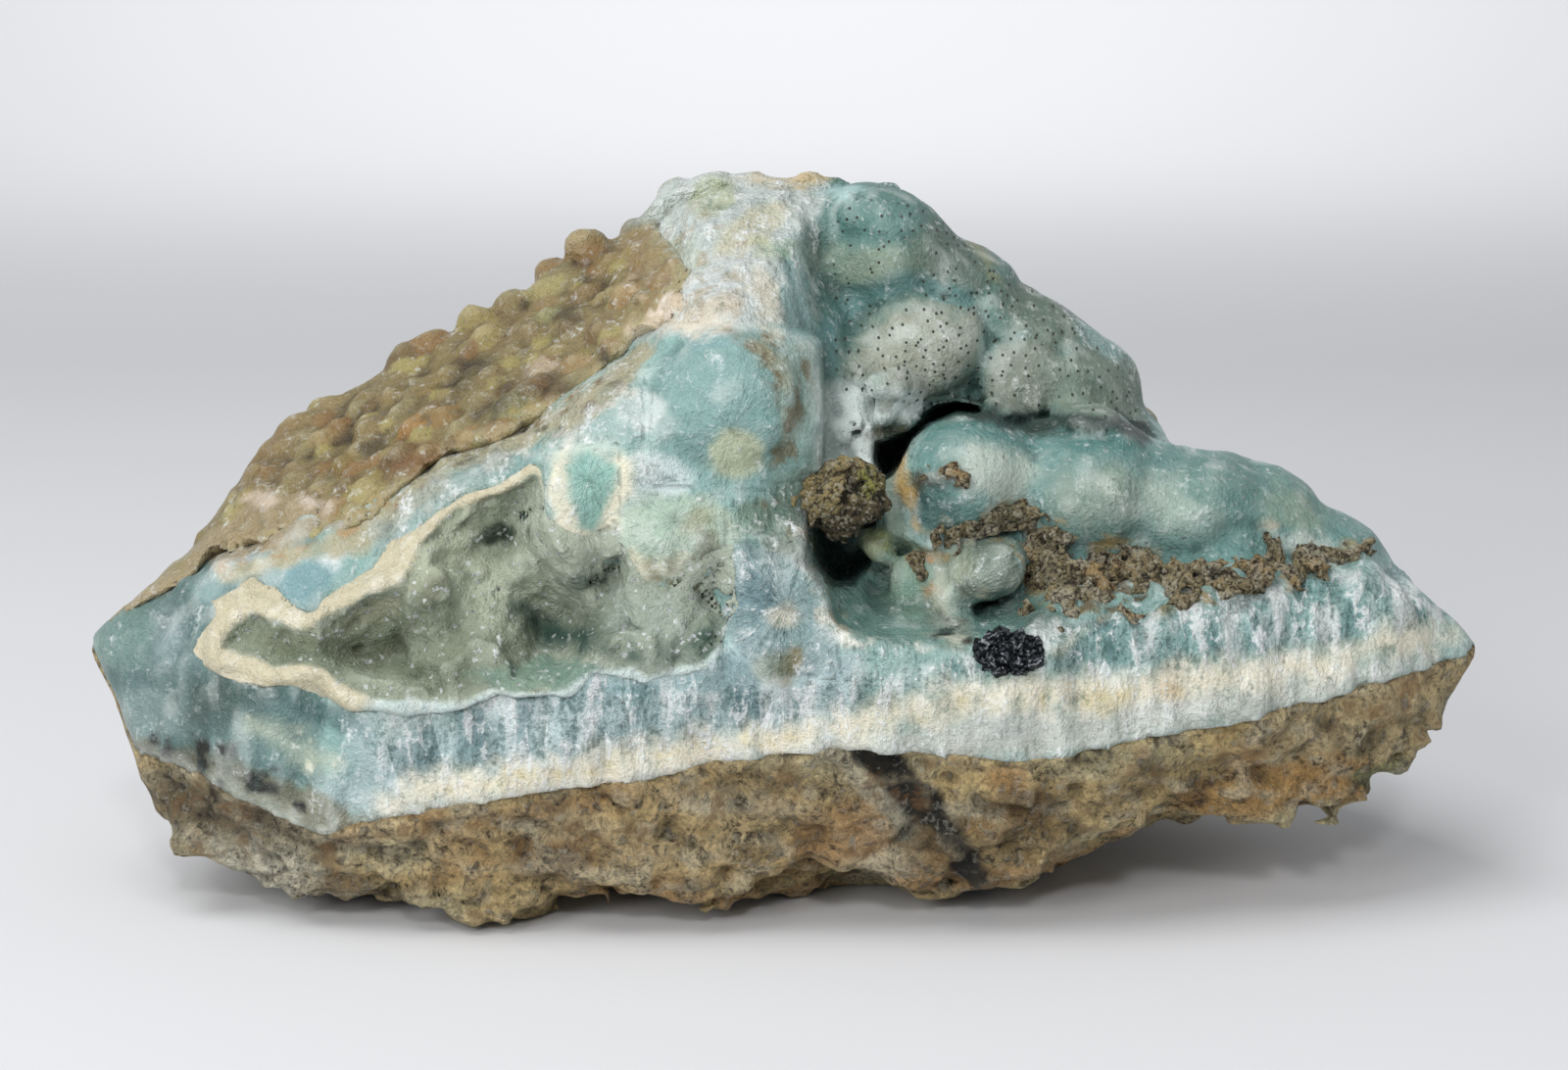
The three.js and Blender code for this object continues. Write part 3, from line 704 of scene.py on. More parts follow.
# Which way the bare stone lies from each edge: forwards and down.
DRAWN_IN = {
    "valley": (-0.6, 0.75), "crest": (0.1, 0.85), "shoulder": (0.8, 0.5), "waist": (1, 0.1), "heel": (1, 0),
}
VEIN_RELIEF = [(6, 0.9, 0), ((2.2, 3, 4), 0.5, 21), ((0.95, 1.8, 3.0), 0.38, 22)]


def bare_edges():
    """The stone's edges under its crust: each is drawn in by its share of the crust's thickness."""
    bare = dict(EDGES)
    for name, (inward, down) in DRAWN_IN.items():
        share = np.array(CRUST_SHARE[name])
        bare[name] = []
        for x, y, z in EDGES[name]:
            off = CRUST_THICK * np.interp(x, share[:, 0], share[:, 1])
            bare[name].append([x, y - off * inward, z - off * down])
    return bare


def bare_stone(axes):
    """The field of the stone without its crust, with the relief of the vein."""
    return stone(axes, bare_edges()) - tips(grid(axes)[0]) * relief(axes, VEIN_RELIEF)


def face_depth(bare, axes):
    """The depth at which each line that runs straight back meets the stone."""
    return axes[1][np.argmax(bare < 0, axis=1)][:, None, :]


# The middle hollow: the slot behind the arch and the hole under the iron lump, then the sloping floor.
SLOT = rows("""
1.8 1.2 1.6 3.4 2.2 4.8 6.9 4.8 6.6 6.3 6.9 7.2 8.3 7.5 10 8.5 11.2 9.6 13.2 10.3 15.2 9.7 14.9 9 13.2 9.3
11 8.3 9.8 7.2 9 5.3 8.3 4.3 7.5 3.9 7.2 1.9 7.5 -0.1 6.9 -2.2 5.4 -4.2 3.4 -4.2 2.1 -2.2 1.8 0.1
""")
FLOOR = rows("""
2.8 5.7 1.9 0.1 1.6 -2.2 2.8 -4.2 3.7 -6.7 5.1 -7.6 7.8 -8.2 10.8 -8 14.2 -7.9 17.9 -7.5 20.5 -5.4 19.8 -2.5
14.9 -1.5 10.8 -1 8 0.1 7.2 3.4
""")
# Rounded masses: middle (x, y, z), then radii.
BOTRYOIDS = rows("""
-3.4 -7.5 38.4 7.6 9 9.4 -10.8 -9 36.2 7.5 9 6.8 -16 -11 34 4.4 8 4 -8.6 -11 30.6 6 9 4.4
14.2 -4 34 6.2 8.6 5.2 24 -3.5 32 7.6 9 5.8 32 -3 30.2 6.8 8.6 5 38 -1.5 29.4 5.8 7.3 4.4
44 -2 26.6 4.7 6.4 3.1 7 9.5 48.8 7.4 7 6.6 14 11 45 6.4 7 5.6 11.5 8 42 7.2 7.8 4.8 21 9.5 39.8 6.2 7.8 5.2
25.8 11.5 37.8 4.6 6.4 4.4 19.5 12 42 5 5.5 4 29 9 33.8 3.3 6 2.6
""", 6)
# Growths of the middle hollow, with the broken stub first: middle (across, up, depth), then radii.
GROWTHS = rows("""
15.7 -2.6 -12.4 2.6 3.8 2.3 14 -3.1 -12 2 3.4 1.9 16.7 -1.9 -12.6 1.5 3.4 1.5 9.4 -3.6 -11.6 1.5 1.3 2.3
6.9 -0.7 -10 1.1 1.6 0.9 6.3 -0.2 -9.5 0.8 1.2 0.7 7.5 -1.5 -10.5 0.8 1 0.8 12.5 -5.5 -13.8 1.5 1.8 2
11.5 -3.4 -12.2 1.1 1.2 2 13.4 -7 -15.8 1.9 1.2 0.9 13.8 -1 -11 1.5 2 1.2
""", 6)
# The arch over the slot: middle (across, up, depth) and radius.
ARCH = rows("""
4.6 11 -8 1.6 4.3 10.4 -9.2 1.8 4.5 9.4 -10.4 1.8 4.7 8.1 -11.4 1.8 5.1 6.8 -12 1.7 5.4 5.5 -12.2 1.5
6 10.6 -8.4 1.6 7.5 10.4 -7 1.4 8.6 10.1 -5.6 1.4 9.8 9.8 -4.2 1.2 7.3 9 -7.5 1.4 8.8 8.8 -5.8 1.2
""", 4)
# Fibrous growths: the corners of the block that holds them, how rough they are, and the ring they fill.
HAIRY = [
    ((2, -16, 33), (14, 6, 48), 0.42, rows("2.7 11.5 6 11.8 10.7 10.9 10.9 8.6 7.8 8.2 7.5 4.9 2.7 4.9")),
    ((9, -20, 24), (21, -6, 38), 0.2, rows("9.7 -1 12.7 0.1 18.3 0.1 18.3 -5.5 14.9 -8.1 9.7 -7.8")),
]
# The ring where the lining of the left hollow meets the vein, the scooped-out part under the broken
# lobes, how deep the hollow goes (across, depth), and how wide its sides are.
RIM = rows("""
-45.2 -8.9 -43.6 -7.4 -42.6 -6.1 -43 -5.1 -41.3 -4.3 -40.4 -3.4 -39.4 -4 -37.7 -5.2 -36.5 -6.1 -35.4 -6
-34.7 -5.1 -33.2 -4 -30.9 -2.6 -29.8 -0.7 -28.1 0.1 -26.4 1.3 -24.7 2.5 -23 3.2 -21.6 3.7 -20.3 4.4
-18.6 5.4 -18.3 3.1 -18 1.3 -17.3 -0.4 -16.2 -1.5 -15.1 -2.8 -13.7 -1.8 -12.4 -0.9 -11.4 -2.5 -10 -4.2
-8.2 -4.5 -5.9 -3.3 -4.3 -1.6 -4.4 -4 -4.2 -5.9 -4.8 -8.8 -5.7 -9.6 -8.2 -10.3 -10.5 -10.7 -11.6 -10.4
-14.5 -10.4 -16.2 -12 -19.2 -12 -22.3 -12 -24 -12.8 -28.3 -13.4 -30.9 -13.1 -32.2 -13.3 -33.7 -12.7
-35.6 -11.7 -37.5 -11.2 -40.4 -11 -43 -10.2
""")
UNDER_LOBES = rows("""
-18.9 3.4 -18.2 1.6 -16.8 0.2 -15.1 -0.2 -13.3 0.6 -12.1 -1 -10.7 -3.3 -8.8 -3.3 -7.3 -1.9 -3.9 -0.7
-3.7 -5.9 -14.9 -7.4 -22.4 -4 -20.5 1.2
""")
HOLLOW_DEPTH = rows("""
-44.7 1.5 -40 3.2 -35 5 -28 7.5 -21 8.5 -11 8 -4.5 4.5
""")
HOLLOW_SIDE = 5.5
# Rounded masses of the right side: middle (across, up), half width, half height, turn, how far they
# stand out. They stand out less near the outline, where they turn away.
SWELLINGS = rows("""
7.8 24.9 3.9 2.7 -5 1 6.7 20.7 4 2 8 0.9 13 21.2 3.3 3 -35 1.1 10.1 14.2 5.4 3.9 12 1.9
18.3 16.7 3.3 2.7 -25 1 17.9 11.9 3.3 3.2 -10 1.5 23.3 10.9 3.7 3.4 -10 1.4 26.5 8.6 1.8 1.9 -20 0.6
14 4.3 5.4 4.2 5 1.15 23.3 3.3 4.9 4 -8 0.8 30.2 2.3 3.7 3.4 0 0.65 33.9 4 4 3.1 -20 1.2
39.1 1.2 3.7 2.7 -30 0.8 11.9 4.5 1.6 0.7 8 2.1
""", 6)
UPPER_RIGHT = rows("""
-14.9 -11.5 -14.9 29.5 3.7 28.8 10.4 26.1 14.2 22.4 18.6 18.6 20.9 17.3 23.3 14.8 25.6 13.9 27.3 11.8
28.1 8.8 30 7.1 34.3 7 36.7 4.9 41 2.5 43.4 0.1 45.6 -0.5 47.7 -3.3 47.7 -11.5
""")
DOME = [(-4.1, 10.5, 5.4, 5.2, 0, 1.2)]

vein_axes = axes = block((-57.5, -25, 4), (58, 28.5, 59.5), CELL)
bare = bare_stone(axes).astype(np.float32)
front = face_depth(bare, axes)
vein = bare.copy()
for *at, wide, deep, high in BOTRYOIDS:
    mass(vein, axes, at, (wide, deep, high), blend=2.2)


def swollen(axes, swellings, power=0.5):
    """Height of the rounded masses over each place: h (1 - q^2)^power, with q the distance in radii.

    Where masses meet, the fifth root of the sum of fifth powers counts: close to the higher one.
    """
    u, v = [a.astype(np.float32) for a in seen(*grid(axes))]
    rise = np.zeros(np.broadcast(u, v).shape, np.float32)
    for across, up, wide, high, turn, height in swellings:
        du, dv = leaning(u, v, across, up, turn)
        q = (du / wide) ** 2 + (dv / high) ** 2
        rise += (height * np.clip(1 - q, 0, 1) ** power) ** 5
    return rise**0.2


def bowl(axes, front, ring, wall):
    """A hollow that opens at the broken face inside a ragged ring, with sloping sides and a deep middle.

    Its depth is D (1 - (1 - d/w)^1.6), with d the distance in from the ring, w the width of its sides
    and D its depth there, less the thickness of its `wall`.
    """
    x, y, z = grid(axes)
    u, v = seen(x, y, z)
    inward = -outline(u, v, ring) - 0.22 * uneven(axes, 1.1, 24)
    at = np.array(HOLLOW_DEPTH)
    side = np.clip(inward / HOLLOW_SIDE, 0, 1)
    depth = (np.interp(u, at[:, 0], at[:, 1]) - wall) * (1 - (1 - side) ** 1.6)
    return np.maximum(0.7 * (y - front - depth), -inward).astype(np.float32)


def rounded(axes, front, ring, depth=2.6, width=3.6, power=2):
    """Rounds the stone away inside a ring: the cut is D (d/w)^n deep, with d the distance in from it."""
    x, y, z = grid(axes)
    inward = -outline(*seen(x, y, z), ring)
    cut = depth * np.clip(inward / width, 0, 1) ** power
    return np.maximum(0.8 * (y - front - cut), -inward).astype(np.float32)


def inner(axes, low, high):
    """The slices of a block between two corners, and the axes there."""
    part = tuple(slice(*np.searchsorted(axis, ends)) for axis, ends in zip(axes, zip(low, high)))
    return part, [axis[s] for axis, s in zip(axes, part)]


# The left hollow, then the middle one.
part, local = inner(axes, (-47, -24, 10), (-2, -4, 38))
mouth = front[part[0], :, part[2]]
hollow = np.minimum(bowl(local, mouth, RIM, 0), rounded(local, mouth, UNDER_LOBES))
vein[part] = -joined(-vein[part], hollow, 0.4)
part, local = inner(axes, (0, -25, 16), (24, 12, 46))
mouth = front[part[0], :, part[2]]
cave = rounded(local, mouth, FLOOR, depth=9.5, width=5.5, power=0.65)
cave = np.minimum(cave, rounded(local, mouth, SLOT, depth=20, width=1.6, power=0.5))
vein[part] = -joined(-vein[part], cave, 0.4)
for *at, wide, deep, high in GROWTHS:
    mass(vein, axes, behind(*at), (wide, deep, high), blend=1.0)
for *at, radius in ARCH:
    mass(vein, axes, behind(*at), (radius, radius, radius))
for low, high, coarse, ring in HAIRY:
    part, local = inner(axes, low, high)
    hairy = smooth(0.6, -0.4, outline(*seen(*grid(local)), ring))
    vein[part] -= hairy * relief(local, [((0.8, 0.9, 1.0), coarse, 25), (1.7, coarse, 26)])
# The masses of the right side, the groove that sets them off from the crest, and the dome.
part, local = inner(axes, (0, -20, 24), (50, 16, 59.5))
u, v = seen(*grid(local))
within = smooth(-0.3, -2.6, outline(u, v, UPPER_RIGHT))
vein[part] -= 0.85 * within * swollen(local, SWELLINGS)
begins = np.interp(v, [14.6, 15.6], [2.7, -0.4])
vein[part] += 2.0 * smooth(begins, 3.1, u) * smooth(9, 4, u) * smooth(4.8, 6, v) * smooth(25, 20, v)
part, local = inner(axes, (-12, -24, 24), (6, 0, 48))
vein[part] -= swollen(local, DOME)
vein = vein - 0.16 * uneven(axes, 1.3, 23)
vein = np.maximum(vein, below_vein(axes)).astype(np.float32)
corners, faces = skin(vein, axes)

# The left end: massive blue-green with pale haze and cleavage flakes.
VEIN_TINTS = marks("""
ring 5a7877 0.88 -53.7 -1 -35 0.4 -35 -18.9 -50.7 -18.2 oval 93aaa8 0.6 -47.8 -13.7 3.9 2.1 0
oval 7d9d95 0.6 -50.7 -7 3 3 0 soft-oval b4c6ca 0.7 -46.8 -7.2 1.1 2.5 8
oval 3f5549 0.8 -47.5 -4.5 1.2 0.4 20 oval 7ba0a6 0.9 -36.9 -3.1 2.7 2.2 0
oval dfe8ea 0.8 -34.7 -1.8 1.1 0.7 20 oval d8e2e4 0.6 -40.8 -1.9 1.2 0.9 0
oval a9c6c6 0.6 -43.6 -4 1.5 1.2 30
band 416364 0.75 -40.1 -11.7 0.7 -37.3 -12.4 0.9 -33.9 -13.9 1 -31.3 -14.8 0.7
soft-oval 3a504a 0.85 -42.9 -12.8 3.9 2.2 10
soft-band b9c3b0 0.75 -40.6 -14.3 0.5 -38.2 -15.4 1 -35.9 -16.7 1 -33.9 -17.6 0.6
flecked-band e4e4cf 0.8 -40.6 -14.2 0.6 -38.2 -15.4 1.2 -35.4 -17 1.2 -33.5 -17.8 0.6
""")
# The fibrous lower vein.
VEIN_TINTS += marks("""
soft-ring b2c8cc 0.9 -31.3 -12.6 -22.4 -11.5 -4.1 -7.8 6 -9.1 6 -16.7 -37.3 -22.7 -33.9 -18.2
band b9cfcb 0.7 -29.8 -14.1 1.6 -26.1 -13.3 1.3 -22.4 -13.1 1
band bcd2d6 0.8 -22.4 -14.1 1.3 -19 -14.1 1.6 -15.7 -14.5 1.2
band 8fb0b4 0.6 -14.9 -11.5 0.7 -11.9 -11.5 0.7 -8.9 -11.9 0.7
band 6e9298 0.5 -8.2 -11.5 0.7 -4.5 -10.7 1.8 -3 -13 1.2
ring 92b8b6 0.85 18.6 -10.7 23.1 -7 33.5 -4.9 47.7 -0.7 51.4 -7 37.3 -10
band e6ecea 0.7 29.1 -5.7 0.2 30.3 -10 0.2 band e3e9e8 0.75 33.7 -4.6 0.4 34.9 -8.8 0.4
band 4f7677 0.6 32.2 -5.9 0.4 33.1 -8.6 0.4 oval cfdedd 0.6 37.3 -7.6 2.1 0.9 -8
band 6a9392 0.5 20.5 -9.4 0.5 24.6 -8.1 0.6 28.3 -9.1 0.7 band b8d1d0 0.6 44.7 -2.2 0.6 47 -4 0.7
""")
# The grey-white fibrous layer on the rock, and the cream layer over it.
VEIN_TINTS += marks("""
soft-band ced3cb 0.95 -37.3 -21.5 1 -31.3 -22.3 1 -22.4 -20 1.2 -13.4 -18.9 1.2 0 -16.5 1.2 14.9 -15.8 1.8
22.4 -14.8 2.1 32.8 -13.1 1.9 42.5 -10.9 1.5 49.9 -9.1 0.7
soft-band efe9d4 0.95 -30.2 -20.6 1 -26.8 -19.4 1.1 -20.9 -18.6 1.3 -14.9 -17.8 1.3 -7.5 -16.7 1.3 0 -15.4
1.2 5.2 -14.3 1.2 10.4 -13.1 1.5 14.9 -12.4 1.6 22.4 -11.9 1.6 30 -11.3 1.4 37.6 -10.3 1.3 42.6 -9.2 1.1
46.2 -7.9 1.3 50.7 -7.8 1
flecked-band fbf8ea 0.75 -30.2 -20 1 -20.9 -18.2 1.5 -7.5 -16.5 1.5 5.2 -14.1 1.6 14.9 -12.6 1.9 30 -11.5
1.6 42.6 -9.4 1.2
flecked-band d9cc9c 0.7 -26.8 -19.8 0.4 -14.9 -17.8 0.5 0 -15.4 0.6 14.9 -12.8 0.7 30 -11.9 0.6
oval e0cd94 0.6 24.2 -12.4 1.6 0.9 0 oval e8c9a2 0.5 29.4 -11.8 1 0.6 0
ring 7e7a63 0.85 -50.7 -15.4 -44.7 -16.7 -38 -18.9 -33.5 -20.6 -29.8 -21.8 -29.8 -24.5 -35 -25.3 -46.2 -21.9
flecked-ring c2c6b6 0.7 -50.7 -15.4 -44.7 -16.7 -38 -18.9 -33.5 -20.6 -29.8 -21.8 -29.8 -24.5 -35 -25.3
-46.2 -21.9 band 565846 0.75 -50.3 -15.8 0.4 -44.7 -16.7 0.7 -41 -18.2 0.7 -37.3 -19.8 0.4
flecked-band 14150f 1 -50.3 -15.7 1 -44.7 -16.7 1.5 -41 -18.2 1.6 -35.8 -20.6 1
oval dfe3df 0.6 16.4 -14.8 3.7 1.2 5 oval dadfdc 0.6 30.6 -13.1 3.4 0.7 8
""")
# The white blades of the wedge between the hollows.
VEIN_TINTS += marks("""
ring 93aaae 0.8 -4.1 -1 0 0.1 2.2 -3.3 4.5 -7.8 4.5 -10.7 -1.5 -10.7 -4.8 -7
soft-oval 66868f 0.75 -2.1 -4.4 1.8 2.2 25 band e2e6e4 0.8 0.9 -1 0.7 2.8 -4.4 0.7 4.2 -7.4 0.6
oval e6e0cc 0.7 0.4 -6.2 1.2 0.9 0 band 7f6c34 0.85 0.9 -8.9 0.6 -0.1 -11 0.7
oval 74603a 0.7 -0.1 -0.7 0.9 0.4 0 oval 8aa3a8 0.5 -4.1 -10.7 2.2 1.5 20
oval 68745f 0.8 -0.7 -10.1 1.3 1.3 0
""")
# The dome with its darker ring, cream heart and brown stain.
VEIN_TINTS += marks("""
oval 789b98 0.85 -4.2 10.9 6.3 5.8 0 oval 86aaa8 0.7 -7.5 11.5 1.6 2.5 25 oval 7aa3a4 0.8 -4.8 14.6 3 0.7 -4
soft-oval 87a9a7 0.7 -4.5 10.9 3.3 2.8 0 oval 7ba8a3 0.5 -1.4 8.6 1.2 1.5 0 oval c6cbaa 0.8 -3.6 6 2.2 1.9 0
band 8a7b50 0.75 -2.6 14.8 0.4 -1.3 13.7 0.6 0 12 0.5 0.4 10.9 0.3
band 84794f 0.6 -0.1 9.4 0.2 0 7.2 0.3 -0.7 5.7 0.2 oval 88a090 0.7 -2.7 1.3 2.1 1.2 20
oval dbe4e3 0.8 -10.8 9.4 1.6 1.5 0 oval a8b9ad 0.55 1.1 10.9 1.6 4.5 0
band c9d6d2 0.7 -0.4 15.5 0.4 2.8 14.5 0.4
""")
# The broken lobes above the left hollow.
VEIN_TINTS += marks("""
oval ccdadb 0.85 -10.1 4 3.4 1.9 0 oval bcd0cc 0.6 -14.5 7.9 4.5 1.9 30 oval b7c6b4 0.8 -8.3 0.1 4.9 3.1 0
oval aec4b4 0.7 -8.2 1.6 3.4 1.6 0
band e3dec4 0.85 -11.9 -1.2 0.3 -11 -2.5 0.7 -9.8 -3.1 0.7 -8.2 -2.4 0.5 -7.5 -1.6 0.2
oval 9a8a50 0.45 -6.6 1 1.2 0.7 20 oval 9a9c78 0.8 -8.2 -4.2 2.5 0.7 10
soft-oval bfcabc 0.7 -14.9 3.1 3.6 4 0
ring f0ebd4 0.9 -17.7 5.4 -16.8 6.2 -16.1 4.8 -16.1 3.1 -15.5 1.3 -14.6 0.4 -13.9 1.6 -13.6 3.4 -13.4 5.1
-12.5 6 -11.7 4.5 -11.9 2.5 -12.7 0.3 -14.5 -1.2 -16.4 -0.7 -17.7 0.8 -18.3 3.1
ring 98c2b8 1 -16.5 5.1 -14.9 6.3 -13.1 5.2 -13.4 2.8 -14.3 0.2 -15.5 0.8 -16.5 2.8
oval a3ab95 0.8 -16.1 -2.2 3 1.5 0
""")
# The crest: cream, greenish and orange-brown over white, then the blue-grey wall.
VEIN_TINTS += marks("""
ring c7d0cd 0.9 -11.9 14.6 -10.8 22.8 -8.2 28 3.7 28 2.2 16.1 -3 15.4 oval d0d7d6 0.8 -4.8 19.1 4.5 2.7 25
oval dccfb8 0.75 -6.3 16.8 3.3 1.3 20 oval cfc9a9 0.7 -2.6 23.2 3.3 1.3 25
oval aeb48b 0.7 -5.6 25.8 1.8 1.5 0 oval c7ab72 0.8 0.9 27.3 3.1 0.7 0 oval b4c1a8 0.6 -7.5 21.2 1.9 1.3 0
oval dcd2b8 0.6 -1.3 18.3 1.2 3 8
flecked-ring b3a488 0.6 -11.9 14.6 -10.4 22.1 -7.5 25.8 -3 22.8 -0.7 16.8 -7.5 15.4
band 8fb6b6 0.85 0.6 22.1 1 0.9 18.3 1.2 1.3 15.7 0.9 oval a7b98f 0.5 -0.7 21.7 1.6 0.9 0
oval b9c6bd 0.5 -9.3 25 1.3 3 -20
""")
# The recessed wall on the right: teal in the grooves, sage on the rounded tops.
VEIN_TINTS += marks("""
ring 567b74 0.95 2.4 16.1 2.2 22.8 3.7 27.7 10.8 27.7 28.3 9.4 28.3 5.7 11.2 7.2 3.4 9.4
soft-oval 92a28f 0.85 6.9 20.6 4.5 1.8 -6 soft-oval 56695d 0.85 13 21.2 3.1 3.3 40
soft-oval a1a597 0.95 10.1 14.3 5.2 3.7 14 soft-oval 5f7061 0.85 19.4 17 4 2.7 -40
soft-oval 80897c 0.95 18.3 11.9 3.7 3.3 0 soft-oval 768778 0.9 23.9 10.9 4.2 3.3 -20
band 648f8e 0.85 3.1 15 0.7 5.1 17.7 0.8 9.7 19.3 0.8 13.8 17.9 0.5 oval 54807b 0.8 6.3 24.1 3.7 2.2 0
oval b2d6d6 0.7 4.2 26.1 1.3 0.7 0 band 5c8688 0.8 3.4 16.1 0.5 3.6 13.1 0.5
band a39d6a 0.5 13.8 23.4 0.3 16 19.7 0.3 band 6f9490 0.7 15.7 15.7 0.4 14.8 12.4 0.4 14.2 9.8 0.6
""")
# The front mass on the right. The dark band 1f352f along its top is painted shadow, where the masses above
# overhang it.
VEIN_TINTS += marks("""
ring 628a86 0.9 9.3 -1 10.1 7.9 14.9 9 29.8 6.8 36.5 6.8 46.2 -1 33.5 -4.8 14.9 -1
band 1f352f 1 11 9.2 0.7 13.8 9.5 0.9 17.1 8.6 1 22.4 8.3 1.1 27.2 7.9 0.9
soft-oval b6c2b8 0.9 15.8 4.8 3.3 2.4 -8 soft-oval 85968b 0.85 24 3 4 2.8 8
band 4f807c 0.8 10.1 5.7 0.4 11.2 7.9 0.5 13.8 8.3 0.6 17.1 7.3 0.6 19.4 6.6 0.4 21.6 7.2 0.6 26.1 6.7 0.6
oval 8a9d88 0.6 25 4.2 1 1 0 soft-oval a3b4aa 0.8 30.2 2.3 3.1 2.5 0 soft-oval 2b4e4c 0.85 11 1.9 1.8 2.1 0
soft-oval 8b9f8c 0.75 38.8 1.9 2.7 1.9 -25 oval 5a827b 0.8 33.5 4.2 3 2.2 0
oval 4a3a22 0.95 11.9 4.4 1.8 0.8 8 oval c9b79f 0.6 37.3 0.8 1 0.5 0 oval c7cfc9 0.6 40.2 -1 3 1 -20
""")
# The middle hollow: blue floor, white stub, rings, black specks under the stub, and rust along its edge.
# Painted shade: the dark oval 4a4a36 under the arch and the soft band 1d2a22 on the left side of the hole;
# the soft ring 5f7263 there is partly its own dark green-brown and partly painted shade.
VEIN_TINTS += marks("""
ring 668982 0.95 3 -3.7 7.5 0.4 11.9 -1 19.4 -4 21.6 -5.9 18.6 -8.5 10.4 -8.6 4.6 -8.2 3.4 -6.3
ring 7f9080 0.85 7.2 4.3 9.3 4.5 9.8 -1 7.2 -0.7 soft-oval 93a381 0.85 9.4 -3.3 1.8 2.5 0
soft-oval 7fa59c 0.9 9.4 -3.6 1.1 1.8 0 oval a4ab72 0.9 6.9 -0.5 1.3 1.3 0
flecked-ring 3c3c1a 0.9 5.6 1.2 8.3 1.2 8.3 -2.9 5.6 -2.5
flecked-ring a8702c 0.9 9.4 -1.5 11.8 -1 12.1 -4.3 10.1 -4.5
soft-band c4c6b4 0.9 11.8 -1.8 0.7 11.9 -4.4 0.7 12.2 -6.6 0.7 13.3 -7.6 0.6
flecked-ring 15140e 1 12.8 -4.9 14.2 -4.9 14.5 -8.5 11.3 -8.6 11.6 -7
band cdaa6a 0.9 9.1 6.3 0.3 8.9 4.2 0.4 9.4 2.5 0.4 10.1 0.4 0.2
ring dae6e4 1 2.7 11.3 6 11.5 10.3 10.7 10.4 8.8 7.5 8.6 7.2 4.2 2.8 4.2 oval 4a4a36 0.85 8 7.9 1.6 0.7 10
flecked-ring 5a5a44 0.6 6 10.9 10.4 10.9 10.7 7.9 6.7 7.5
soft-ring 5f7263 0.8 -3.3 1.6 0 4.9 1.6 6.3 2.7 4.9 2.7 -1 1.1 -1.8 -2.2 -1.5
soft-band 1d2a22 1 1.8 4.3 0.4 1.5 1.9 0.7 1.9 -1 0.7
""")
# Rust crumbs scattered round the oxide strip and on the hole's left edge; on the stub a painted highlight on
# its upper right (soft band 94a297), and painted shadow under it (soft oval 201e14).
VEIN_TINTS += marks("""
flecked-ring a08c5c 0.9 9.3 -1 13.8 2.1 18.6 2.5 22.4 0.4 28.3 -0.7 35 -2.9 43.6 0.1 44.1 -1.6 35 -5.4 23.9
-7 19.4 -6.1 17.9 -4 11.9 -2.2 flecked-ring 3a3020 0.7 20.5 -1 29.1 -1.8 34.3 -4 23.9 -6.3 20.1 -5.1
flecked-ring a9854e 0.6 0.9 0.4 3.1 0.1 3.7 -4.8 5.4 -7.8 3.7 -8.9 1.5 -4
flecked-band eceee4 0.95 1.1 -1.4 0.4 2.4 -4.4 0.4 3.6 -7.4 0.4 4.6 -8.2 0.4 7.8 -8.6 0.4 11 -8.8 0.5
band d8d3bd 0.8 20.5 -9.1 0.4 22 -7.8 0.4 24.6 -6.4 0.4 soft-oval 48665f 0.9 19.5 -6.6 1.6 1.3 -20
oval 708074 1 15.5 -2.5 2.8 2.5 0 soft-band 94a297 0.7 14.9 -3.4 0.6 16.8 -1.2 0.7
soft-oval aab49e 0.7 13.9 -2.4 0.7 1.3 0 flecked-band e8e2c8 0.9 14.2 -4.9 0.3 16.4 -4.6 0.4 18 -3.7 0.4
soft-oval 201e14 1 15.4 -5.7 1.8 0.7 0
flecked-ring 6a5a34 0.8 -4.1 15.4 1.1 15 2.2 10.9 1.1 4.9 -1.5 4.9 -0.7 10.9
flecked-ring 6f6440 0.6 -11.2 -2.5 -4.8 1.2 -0.4 3.8 0.6 0.1 -4.1 -4 -10.4 -4.9
""")
# Tan and white under the broken edge of the crust.
VEIN_TINTS += marks("""
band b3ac8e 0.9 -42.5 -3.1 0.6 -37.3 -1.5 0.9 -33.5 -0.4 1 -30.4 1 1 -27.9 3.4 1 -25.2 5.8 1 -21.2 6.8 1.1
-17.1 9.1 1.1 -14 10.6 1 -10.8 13.7 0.9
band a08e70 0.85 -42.9 -1.9 0.7 -40.1 -0.4 1 -36.9 0.4 1 -33.5 0.9 0.7
flecked-band b98a4c 0.6 -42.5 -2.7 0.4 -33.5 0.1 0.6 -30.4 1.6 0.6 -28.3 4 0.6 -25.3 6.6 0.6 -21.2 7.6 0.6
-14 11.3 0.6 flecked-band 3f3b28 0.7 -30.4 0.6 0.6 -26.8 4.6 0.7 -21.2 6.8 0.7 -17.1 8.5 0.8 -13.4 11.3 0.9
flecked-band e8e8e0 0.65 -29.8 -0.1 0.6 -26.1 3.1 0.7 -20.9 5.7 0.7 -16.4 7.5 0.7 -11.9 10.5 0.7
band a9b5b1 0.6 -30.2 0.1 1 -26.1 3.4 0.9 -20.9 5.7 0.7
""")
